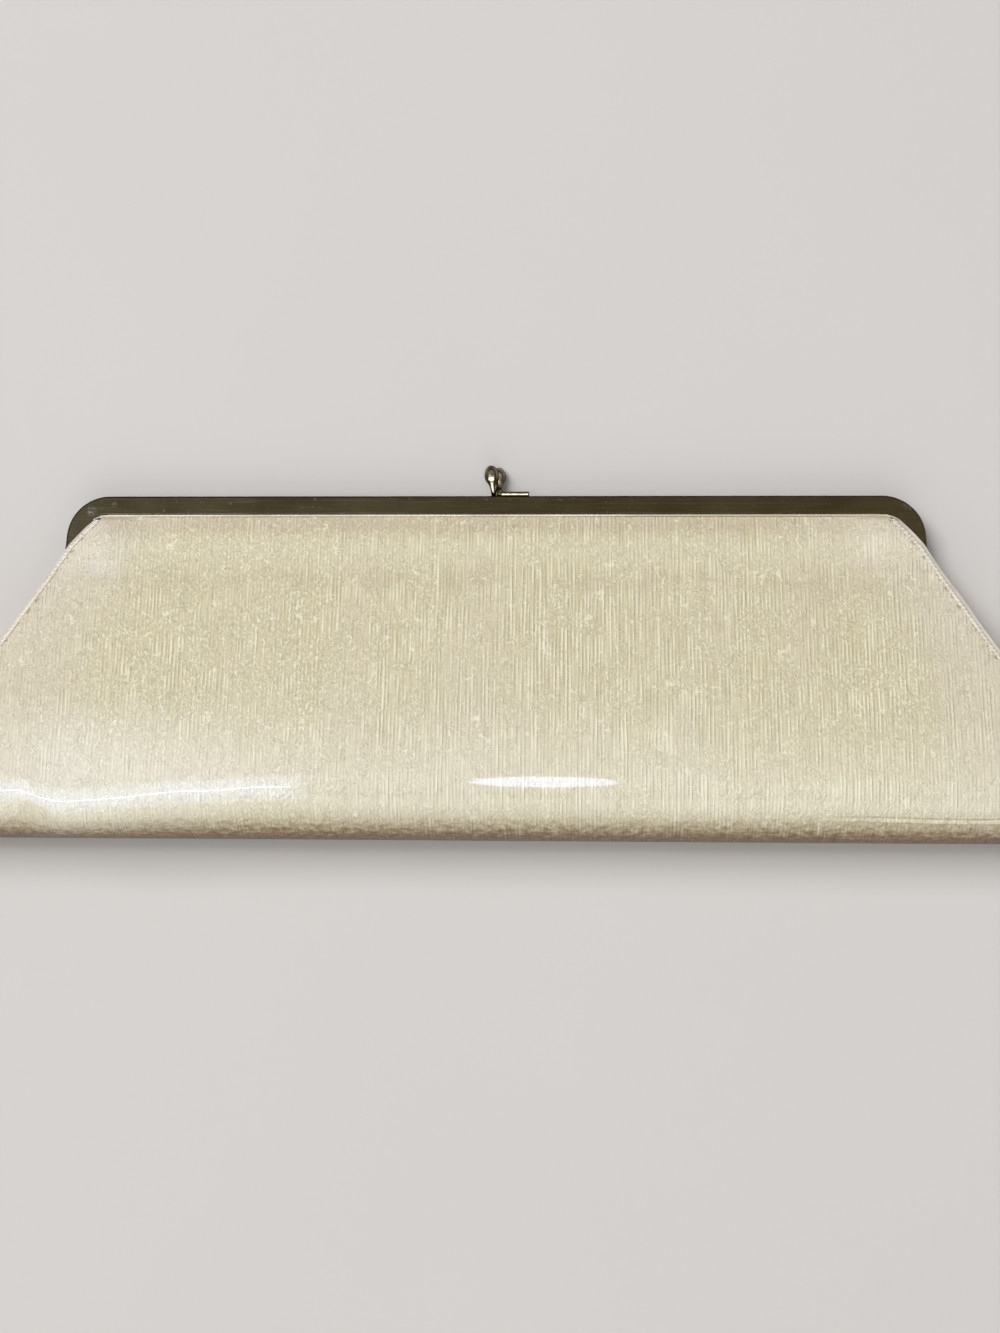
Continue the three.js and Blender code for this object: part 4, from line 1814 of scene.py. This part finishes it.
@dataclass(frozen=True)
class FrameHalf:
    """One folded brass channel with rounded corners, short arms and a hinge lug at each end."""

    shape: ClutchShape
    half: Half
    lug_x: float
    corner_steps: int = 24
    arm_splay: float = math.radians(4)
    arm_drop: float = 21.5
    inner_lip_drop: float = 4.6
    face_fall: float = 0.35
    sheet: float = 0.7
    top_wall: float = 0.8
    depth: float = 3.8
    top_bend: float = 0.55
    lip_bend: float = 0.16
    edge_bend: float = 0.12
    back_bend: float = 0.30
    lug_radius: float = 2.6
    lug_thick: float = 0.9
    lug_top_drop: float = 17.0
    lug_inset: float = 0.5
    lug_steps: int = 32

    def path(self) -> list[PathPlace]:
        """Route of the outer edge.

        Returns:
            Places along it (x, drop), each with the direction across the face (x, drop).
        """
        bar_half, radius = self.shape.bar_half, self.shape.corner_radius
        sweep = math.pi / 2 - self.arm_splay
        right = []
        for angle in [*steps(0.0, sweep, self.corner_steps), sweep]:
            sine, cosine = math.sin(angle), math.cos(angle)
            right.append((bar_half + radius * sine, radius * (1 - cosine), -sine, cosine))
        x, drop, in_x, in_drop = right[-1]
        right.append((x + math.tan(self.arm_splay) * (self.arm_drop - drop), self.arm_drop, in_x, in_drop))
        left = [(-x, drop, -in_x, in_drop) for x, drop, in_x, in_drop in reversed(right)]
        return left + right

    def section(self) -> list[Span]:
        """Section of the channel.

        Returns:
            Distance in from the outer edge and height over the frame's middle, for each point.
        """
        face, lip = self.shape.frame_face, self.shape.lip_drop
        inside = face - self.depth
        corners = (
            (0.0, face - self.face_fall, self.top_bend),
            (lip, face, self.lip_bend),
            (lip, face - self.sheet, self.edge_bend),
            (self.top_wall, face - self.sheet, 0.0),
            (self.top_wall, inside + self.sheet, 0.0),
            (self.inner_lip_drop, inside + self.sheet, self.edge_bend),
            (self.inner_lip_drop, inside, self.edge_bend),
            (0.0, inside, self.back_bend),
        )
        return rounded(corners)

    def channel(self) -> list[Ring]:
        """Fold the channel.

        Returns:
            Its rings, from the left arm to the right one.
        """
        rings = []
        for x, drop, in_x, in_drop in self.path():
            ring = []
            for across, height in self.section():
                place = x + across * in_x, drop + across * in_drop
                ring.append(self.shape.in_frame(*place, self.half.value * height))
            rings.append(ring)
        return rings

    def lug(self, side: Side) -> list[Ring]:
        """Flat lug with a straight root and a round eye at the hinge.

        Args:
            side: Which arm it stands on.

        Returns:
            The rings of its two faces.
        """
        middle = self.half.value * (self.shape.frame_face - self.depth / 2)
        reach = self.depth / 2 - self.lug_inset
        outline = [(self.lug_top_drop, middle - reach), (self.lug_top_drop, middle + reach)]
        for angle in [*steps(math.pi / 2, -math.pi / 2, self.lug_steps), -math.pi / 2]:
            drop = self.shape.hinge_drop + self.lug_radius * math.cos(angle)
            outline.append((drop, self.lug_radius * math.sin(angle)))
        rings = []
        for outward in (-1, 1):
            x = side.value * (self.lug_x + outward * self.lug_thick / 2)
            rings.append([self.shape.in_frame(x, drop, height) for drop, height in outline])
        return rings

    def build(self, look: bpy.types.Material) -> bpy.types.Object:
        """Make the half.

        Args:
            look: Its material.

        Returns:
            The piece.
        """
        bodies = [self.channel(), self.lug(Side.LEFT), self.lug(Side.RIGHT)]
        piece = loft_piece(f"frame_channel_{self.half.word}", bodies)
        return settle(piece, look, "aged_brass", f"frame_{self.half.word}")


@dataclass(frozen=True)
class HingeRivet:
    """Rivet through the two lugs of one hinge, with a flat head inboard and a domed head outboard."""

    shape: ClutchShape
    side: Side
    start: float = 118.1
    shank: float = 3.45
    shank_radius: float = 1.0
    head_radius: float = 1.7
    head_thick: float = 0.5
    head_bevel: Span = (0.15, 0.12)
    dome_radius: float = 1.96
    dome_height: float = 0.95
    dome_steps: int = 8
    tip: float = 0.02
    sides: int = 32

    def profile(self) -> list[Span]:
        """Outline of the rivet from its flat head to the top of its dome.

        Returns:
            Radius and distance along the rivet, for each point.
        """
        bevel_in, bevel_along = self.head_bevel
        outline = [
            (self.tip, 0.0),
            (self.head_radius - bevel_in, 0.0),
            (self.head_radius, bevel_along),
            (self.head_radius, self.head_thick),
            (self.shank_radius, self.head_thick),
            (self.shank_radius, self.shank),
        ]
        for angle in [*steps(0.0, math.pi / 2, self.dome_steps), math.pi / 2]:
            radius = self.tip + self.dome_radius * math.cos(angle)
            outline.append((radius, self.shank + self.dome_height * math.sin(angle)))
        return outline

    def build(self, look: bpy.types.Material) -> bpy.types.Object:
        """Make the rivet.

        Args:
            look: Its material.

        Returns:
            The piece.
        """
        rings = []
        for radius, along in self.profile():
            x = self.side.value * (self.start + along)
            ring = []
            for angle in full_turn(self.sides):
                drop = self.shape.hinge_drop + radius * math.cos(angle)
                ring.append(self.shape.in_frame(x, drop, radius * math.sin(angle)))
            rings.append(ring)
        piece = loft_piece(f"hinge_rivet_{self.side.word}", [rings])
        return settle(piece, look, "bright_brass", f"hinge_pin_{self.side.word}")


@dataclass(frozen=True)
class LipPiping:
    """Thin twisted piping that closes the gap between a lip and its panel."""

    shape: ClutchShape
    half: Half
    radius: float = 0.32
    gap: float = 0.06
    corner: float = math.radians(38)
    corner_steps: int = 12
    twist_pitch: float = 1.6
    twist_depth: float = 0.12
    step: float = 0.25
    sides: int = 12
    tip_size: float = 0.35
    tip_share: float = 0.006

    def route(self) -> list[PathPlace]:
        """Route of the piping round the lip.

        Returns:
            Places along it (x, drop), each with the direction across it (x, drop).
        """
        bar_half, corner_radius = self.shape.bar_half, self.shape.corner_radius
        stand = self.radius + self.gap
        bend = corner_radius - self.shape.lip_drop - stand
        height = self.half.value * (self.shape.channel_panel + stand)
        angles = [*steps(0.0, self.corner, self.corner_steps), self.corner]
        places = [(-bar_half - bend * math.sin(angle), angle, -1.0) for angle in reversed(angles)]
        straight = round(2 * bar_half / self.step)
        places += [(-bar_half + self.step * k, 0.0, 1.0) for k in range(1, straight)]
        places += [(bar_half + bend * math.sin(angle), angle, 1.0) for angle in angles]
        found = []
        for x, angle, hand in places:
            drop, _ = self.shape.in_body(corner_radius - bend * math.cos(angle), height)
            found.append((x, drop, -hand * math.sin(angle), math.cos(angle)))
        return found

    def ring(self, place: PathPlace, walked: float, share: float) -> Ring:
        """One ring of the piping, two strands twisted together and tapered at its tips.

        Args:
            place: A place of the route.
            walked: Distance along the piping.
            share: The same, as a share of its length.

        Returns:
            The ring.
        """
        x, drop, in_x, in_drop = place
        panel = self.shape.front_height if self.half is Half.FRONT else self.shape.back_height
        height = panel(x, drop) + self.half.value * (self.radius + self.gap)
        taper = lerp(self.tip_size, 1.0, smoothstep(min(share, 1 - share), 0, self.tip_share))
        phase = 2 * math.pi * walked / self.twist_pitch
        ring = []
        for angle in full_turn(self.sides):
            strand = 1 - self.twist_depth + self.twist_depth * math.cos(2 * angle + phase)
            reach = self.radius * strand * taper
            across = reach * math.cos(angle)
            up = height + reach * math.sin(angle)
            ring.append(self.shape.place(x + across * in_x, drop + across * in_drop, up))
        return ring

    def build(self, look: bpy.types.Material) -> bpy.types.Object:
        """Make the piping.

        Args:
            look: Its material.

        Returns:
            The piece.
        """
        route = self.route()
        last = len(route) - 1
        rings = [self.ring(place, self.step * k, k / last) for k, place in enumerate(route)]
        piece = loft_piece(f"lip_piping_{self.half.word}", [rings])
        return settle(piece, look, "cord_cotton", f"lip_cord_{self.half.word}")


# Clasp


@dataclass(frozen=True)
class Clasp:
    """Kiss-lock: a ball on a leaning stem, and a second ball that grows out of a flat tab."""

    shape: ClutchShape
    middle_x: float = 1.5
    sides: int = 32
    circle_steps: int = 5
    tip: float = 0.02
    tab_start: float = 1.05
    tab_end: float = 8.8
    tab_foot: float = 0.04
    tab_depth: float = 3.2
    tab_thick: float = 1.2
    tab_ridge: float = 0.42
    tab_foot_fall: float = 0.045
    tab_top_fall: float = 0.45
    tab_front_bend: float = 0.10
    tab_back_bend: float = 0.15
    tab_stakes: Span = (3.4, 7.2)
    stake_setback: float = 1.9
    dull_place: Span = (-1.4, 0.8)
    dull_rises: Span = (1.0, 2.4)
    dull_reach: float = 2.2

    # Rise over the frame, x, height and radius of circles level with the frame's top.
    ball: tuple[Circle, ...] = (
        (0.3, -1.2, -2.1, 1.0),
        (0.45, -1.2, -1.1, 0.90),
        (0.65, -1.22, -0.2, 0.78),
        (1.1, -1.30, 0.40, 0.68),
        (2.1, -1.45, 0.90, 0.66),
        (3.1, -1.65, 1.35, 0.70),
        (3.8, -1.8, 1.65, 1.0),
        (4.8, -1.9, 1.95, 1.65),
        (6.1, -1.9, 2.1, 1.95),
        (7.4, -1.9, 2.1, 1.80),
        (8.2, -1.9, 2.1, 1.44),
        (8.7, -1.9, 2.1, 0.94),
        (8.93, -1.9, 2.1, 0.50),
        (9.0, -1.9, 2.1, 0.02),
    )
    catch: tuple[Circle, ...] = (
        (0.4, 0.6, 1.7, 1.30),
        (1.3, 0.55, 1.6, 1.25),
        (2.4, 0.15, 0.8, 0.92),
        (3.4, 0.05, -0.3, 0.80),
        (4.4, 0.1, -1.0, 1.25),
        (5.5, 0.1, -1.25, 1.70),
        (6.6, 0.1, -1.35, 1.90),
        (7.7, 0.1, -1.35, 1.74),
        (8.5, 0.1, -1.35, 1.32),
        (9.0, 0.1, -1.35, 0.85),
        (9.23, 0.1, -1.35, 0.45),
        (9.3, 0.1, -1.35, 0.02),
    )

    # Rise over the frame and radius of a tenon that is staked over inside the channel.
    tenon: tuple[Span, ...] = ((-1.5, 0.8), (-1.1, 0.8), (-1.1, 0.45), (0.5, 0.45))

    # Distance in from the tab's nearer end, and size of its section there.
    tab_head: tuple[Span, ...] = ((0.0, 0.86), (0.12, 1.0), (0.30, 1.0))
    tab_tail: tuple[Span, ...] = ((0.45, 1.0), (0.25, 1.0), (0.08, 0.95), (0.0, 0.82))

    def circle(self, x: float, rise: float, height: float, radius: float) -> Ring:
        """A circle level with the frame's top.

        Args:
            x: Its middle along the frame, from the clasp's middle.
            rise: How far it stands over the frame's top.
            height: Height of its middle in the frame's own plane.
            radius: Its radius.

        Returns:
            Its points.
        """
        ring = []
        for angle in full_turn(self.sides):
            aside, up = radius * math.cos(angle), radius * math.sin(angle)
            ring.append(self.shape.in_frame(self.middle_x + x + aside, -rise, height + up))
        return ring

    def turned(self, rows: Sequence[Circle]) -> list[Ring]:
        """Smooth body through a table's circles.

        Args:
            rows: The circles, from the foot upwards.

        Returns:
            Rings of the body.
        """
        rises = runs(*((low[0], high[0], self.circle_steps) for low, high in zip(rows, rows[1:])))
        rings = []
        for rise in [*rises, rows[-1][0]]:
            x, height, radius = spline(rows, rise)
            rings.append(self.circle(x, rise, height, max(radius, self.tip)))
        return rings

    def stake(self, x: float, height: float) -> list[Ring]:
        """Rings of a tenon with a flattened head inside the channel."""
        return [self.circle(x, rise, height, radius) for rise, radius in self.tenon]

    def tab(self) -> list[Ring]:
        """Flat tab, whose front is creased along its middle.

        Returns:
            Rings of the tab, from the balls to its free end.
        """
        face, foot, top = self.shape.frame_face, self.tab_foot, self.tab_foot + self.tab_thick
        back = face - self.tab_depth
        section = rounded((
            (foot, back, self.tab_back_bend),
            (foot, face - self.tab_foot_fall, self.tab_front_bend),
            (lerp(foot, top, self.tab_ridge), face, self.tab_front_bend),
            (top, face - self.tab_top_fall, self.tab_back_bend),
            (top, back, self.tab_back_bend),
        ))
        middle = Vector(((foot + top) / 2, (face + back) / 2))
        ends = [(self.tab_start + inward, size) for inward, size in self.tab_head]
        ends += [(self.tab_end - inward, size) for inward, size in self.tab_tail]
        rings = []
        for x, size in ends:
            points = [middle.lerp(Vector(point), size) for point in section]
            rings.append([self.shape.in_frame(self.middle_x + x, -point.x, point.y) for point in points])
        return rings

    def dull_spots(self) -> list[Spot]:
        """Places along the stem that no hand rubs bright, each with its reach in metres."""
        x, height = self.dull_place
        return [(self.shape.in_frame(self.middle_x + x, -rise, height), self.dull_reach * MM)
                for rise in self.dull_rises]

    def build_ball(self, look: bpy.types.Material) -> bpy.types.Object:
        """Make the ball that is staked to the back half.

        Args:
            look: Its material.

        Returns:
            The piece.
        """
        _, x, height, _ = self.ball[0]
        piece = loft_piece(CLASP_BALL, [self.turned(self.ball), self.stake(x, height)])
        return settle(piece, look, "bright_brass", "clasp_ball")

    def build_catch(self, look: bpy.types.Material) -> bpy.types.Object:
        """Make the second ball, whose neck grows out of the tab."""
        return settle(loft_piece(CLASP_CATCH, [self.turned(self.catch)]), look, "bright_brass", "clasp_catch")

    def build_tab(self, look: bpy.types.Material) -> bpy.types.Object:
        """Make the tab that is staked to the front half.

        Args:
            look: Its material.

        Returns:
            The piece.
        """
        height = self.shape.frame_face - self.stake_setback
        bodies = [self.tab(), *(self.stake(x, height) for x in self.tab_stakes)]
        return settle(loft_piece(CLASP_TAB, bodies), look, "bright_brass")


# Studio, in metres

WHITE = (1.0, 1.0, 1.0)
COOL = (0.76, 0.98, 1.55)
PALE_BLUE = (0.82, 1.0, 1.51)
DARK_BRASS = (CLASP_BALL, CLASP_CATCH, FRONT_CHANNEL)


@dataclass(frozen=True)
class Lamp:
    """A soft lamp that shines straight down unless it leans."""

    name: str
    centre: Place
    size: Span
    radiance: float
    role: LampRole = LampRole.BOTH
    shape: LampShape = LampShape.RECTANGLE
    tint: Colour = WHITE
    lean: float = 0.0
    feathered: bool = False
    full_glow: Span = (0.40, 0.04)
    only: tuple[str, ...] = ()
    spares: tuple[str, ...] = ()

    def feather(self, light: bpy.types.Light) -> None:
        """Let the lamp's glow fall away from its middle to its edges.

        Args:
            light: The lamp's light.
        """
        middle = edge = 0.5
        light.use_nodes = True
        layout = NodeLayout(light.node_tree)
        places = layout.parts(layout.node("ShaderNodeNewGeometry").outputs["Parametric"])
        falls = []
        for place, full in zip(places, self.full_glow):
            falls.append(layout.fade(layout.apart(place, middle), full, edge, 1.0, 0.0))
        layout.feed(layout.nodes["Emission"].inputs["Strength"], layout.times(*falls))

    def pick(self, lamp: bpy.types.Object) -> None:
        """Keep the lamp to a few pieces, or keep it off them.

        Args:
            lamp: The lamp in the scene.
        """
        names = self.only or self.spares
        if not names:
            return
        group = bpy.data.collections.new(f"{self.name}_pieces")
        for name in names:
            group.objects.link(bpy.data.objects[name])
        lamp.light_linking.receiver_collection = group
        for entry in group.collection_objects:
            entry.light_linking.link_state = "INCLUDE" if self.only else "EXCLUDE"

    def power(self) -> float:
        """Power that gives the lamp its radiance."""
        filled = math.pi / 4 if self.shape is LampShape.ELLIPSE else 1.0
        return self.radiance * math.pi * self.size[0] * self.size[1] * filled

    def build(self) -> bpy.types.Object:
        """Make the lamp.

        Returns:
            The lamp in the scene.
        """
        light = bpy.data.lights.new(self.name, "AREA")
        light.shape = self.shape.value
        light.size, light.size_y = self.size
        light.energy = self.power()
        light.color = self.tint
        if self.feathered:
            self.feather(light)
        lamp = bpy.data.objects.new(self.name, light)
        lamp.location = self.centre
        lamp.rotation_euler.x = self.lean
        lamp.visible_camera = False
        lamp.visible_diffuse = self.role is not LampRole.GLOSS
        lamp.visible_glossy = self.role is not LampRole.SHADE
        bpy.context.scene.collection.objects.link(lamp)
        self.pick(lamp)
        return lamp


@dataclass(frozen=True)
class Studio:
    """Pale floor, soft lamps and the camera almost straight above."""

    floor_half: float = 3.0
    floor_points: int = 25
    camera_place: Place = (0.02576, -0.00414, 0.53105)
    camera_yaw: float = math.radians(2.572)
    camera_roll: float = math.radians(0.159)
    focal_pixels: float = 1864.0
    image_height: float = 1333.0
    sensor_height: float = 36.0
    ambient: float = 0.13
    ambient_tint: Colour = (1.0, 0.985, 0.965)
    lamps: tuple[Lamp, ...] = (
        Lamp("key_window", (-3.0, 2.45, 5.0), (3.2, 3.0), 11.7, LampRole.SHADE),
        Lamp("soft_top", (-0.3, 0.0, 4.0), (2.4, 2.4), 2.6, LampRole.SHADE),
        Lamp("front_window", (0.0, -2.6, 2.34), (3.0, 3.0), 1.1, lean=math.radians(48)),
        Lamp("dim_ceiling", (0.0, 0.0, 3.1), (12.0, 7.0), 0.45, LampRole.GLOSS),
        Lamp("soft_panel", (-0.97, -0.13, 3.0), (1.0, 4.6), 3.6, LampRole.GLOSS, tint=COOL, feathered=True,
             spares=(CLASP_BALL,)),
        Lamp("ceiling_tube", (-0.93, -0.13, 2.99), (0.80, 0.085), 28.0, LampRole.GLOSS),
        Lamp("lamp_bowl", (-0.045, 0.56, 3.0), (0.29, 1.25), 6.2, LampRole.GLOSS, LampShape.ELLIPSE,
             tint=PALE_BLUE, spares=DARK_BRASS),
        Lamp("lamp_glow", (-0.10, 1.0, 3.01), (0.90, 2.8), 0.5, LampRole.GLOSS, tint=COOL, feathered=True,
             spares=DARK_BRASS),
        Lamp("ball_glint", (0.0, -2.0, 2.22), (5.0, 2.4), 10.0, LampRole.GLOSS, lean=math.radians(42),
             only=(CLASP_BALL,)),
        Lamp("tab_glint", (-0.12, 0.70, 3.0), (1.6, 0.9), 15.0, LampRole.GLOSS, only=(CLASP_TAB,)),
        Lamp("catch_glow", (0.5, 0.6, 3.02), (4.0, 3.0), 0.7, LampRole.GLOSS, only=(CLASP_CATCH,)),
    )

    def build_floor(self) -> bpy.types.Object:
        """Make the floor, which is no part of the clutch.

        Returns:
            The floor.
        """
        count = self.floor_points
        across = [lerp(-self.floor_half, self.floor_half, i / (count - 1)) for i in range(count)]
        points = [Vector((x, y, 0)) for y in across for x in across]
        floor = new_piece("pale_floor", points, grid_faces(count, count))
        floor.data.materials.append(PaleFloor().make())
        return floor

    def build_world(self) -> None:
        """Give the room an even dim light."""
        world = bpy.data.worlds.new("studio")
        world.use_nodes = True
        background = world.node_tree.nodes["Background"]
        background.inputs["Color"].default_value = (*self.ambient_tint, 1.0)
        background.inputs["Strength"].default_value = self.ambient
        bpy.context.scene.world = world

    def build_camera(self) -> bpy.types.Object:
        """Set the camera above the clutch, looking down.

        Returns:
            The camera.
        """
        lens = bpy.data.cameras.new("overhead")
        lens.sensor_fit = "VERTICAL"
        lens.sensor_height = self.sensor_height
        lens.lens = self.focal_pixels / self.image_height * self.sensor_height
        camera = bpy.data.objects.new("overhead", lens)
        camera.location = self.camera_place
        camera.rotation_euler = (0.0, self.camera_yaw, self.camera_roll)
        bpy.context.scene.collection.objects.link(camera)
        bpy.context.scene.camera = camera
        return camera

    def build(self) -> None:
        """Set up the whole studio."""
        self.build_floor()
        self.build_world()
        self.build_camera()
        for lamp in self.lamps:
            lamp.build()
        bpy.context.scene.view_settings.view_transform = "Standard"
        LOG.info("studio: %d lamps", len(self.lamps))


# The whole clutch

MARGIN_WIDTHS = {Side.LEFT: 0.45, Side.RIGHT: 0.80}
LUG_PLACES = {Half.FRONT: 120.8, Half.BACK: 119.35}
# Piping cotton, with painted shade towards the right.
PIPING_COTTON = StitchThread(light=(0.92, 0.87, 0.73), dark=(0.44, 0.37, 0.25), right_share=0.4)

# X, drop and reach of the places where the frame's tarnish is rubbed through.
RUBBED = ((-113.6, 4.4, 2.0), (-107.0, 2.4, 1.1), (115.2, 3.0, 1.4), (116.2, 3.6, 1.0))


def rubbed_spots(shape: ClutchShape) -> list[Spot]:
    """Places where the frame's tarnish is rubbed through, each with its reach in metres."""
    return [(shape.in_frame(x, drop, shape.frame_face), reach * MM) for x, drop, reach in RUBBED]


def build_body(shape: ClutchShape) -> None:
    """Make the cover, its side seams and its gussets.

    Args:
        shape: Outline and section of the clutch.
    """
    cover = Cover(shape)
    cover.build(SlubVinyl().make())
    rolled, thread = RolledCloth().make(), StitchThread().make("stitch_thread")
    margin, folded = ClearMargin().make(), FoldedCloth().make()
    for side, margin_width in MARGIN_WIDTHS.items():
        seam = SideSeam(cover, side, margin_width)
        seam.build_roll(rolled)
        seam.build_stitches(thread)
        seam.build_margin(margin)
        Gusset(shape, side).build(folded)


def build_frame(shape: ClutchShape) -> None:
    """Make the frame's halves, rivets and piping, and the clasp.

    Args:
        shape: Outline and section of the clutch.
    """
    clasp = Clasp(shape)
    aged, handled = AgedBrass().make(rubbed_spots(shape)), HandledBrass().make(clasp.dull_spots())
    piping = PIPING_COTTON.make("piping_cotton")
    for half, lug_x in LUG_PLACES.items():
        FrameHalf(shape, half, lug_x).build(aged)
        LipPiping(shape, half).build(piping)
    for side in Side:
        HingeRivet(shape, side).build(handled)
    clasp.build_ball(handled)
    clasp.build_catch(handled)
    clasp.build_tab(handled)


def main() -> None:
    """Build the clutch and its studio in order."""
    logging.basicConfig(level=logging.INFO, format="%(name)s: %(message)s")
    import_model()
    shape = ClutchShape()
    build_body(shape)
    build_frame(shape)
    Studio().build()


if __name__ == "__main__":
    main()
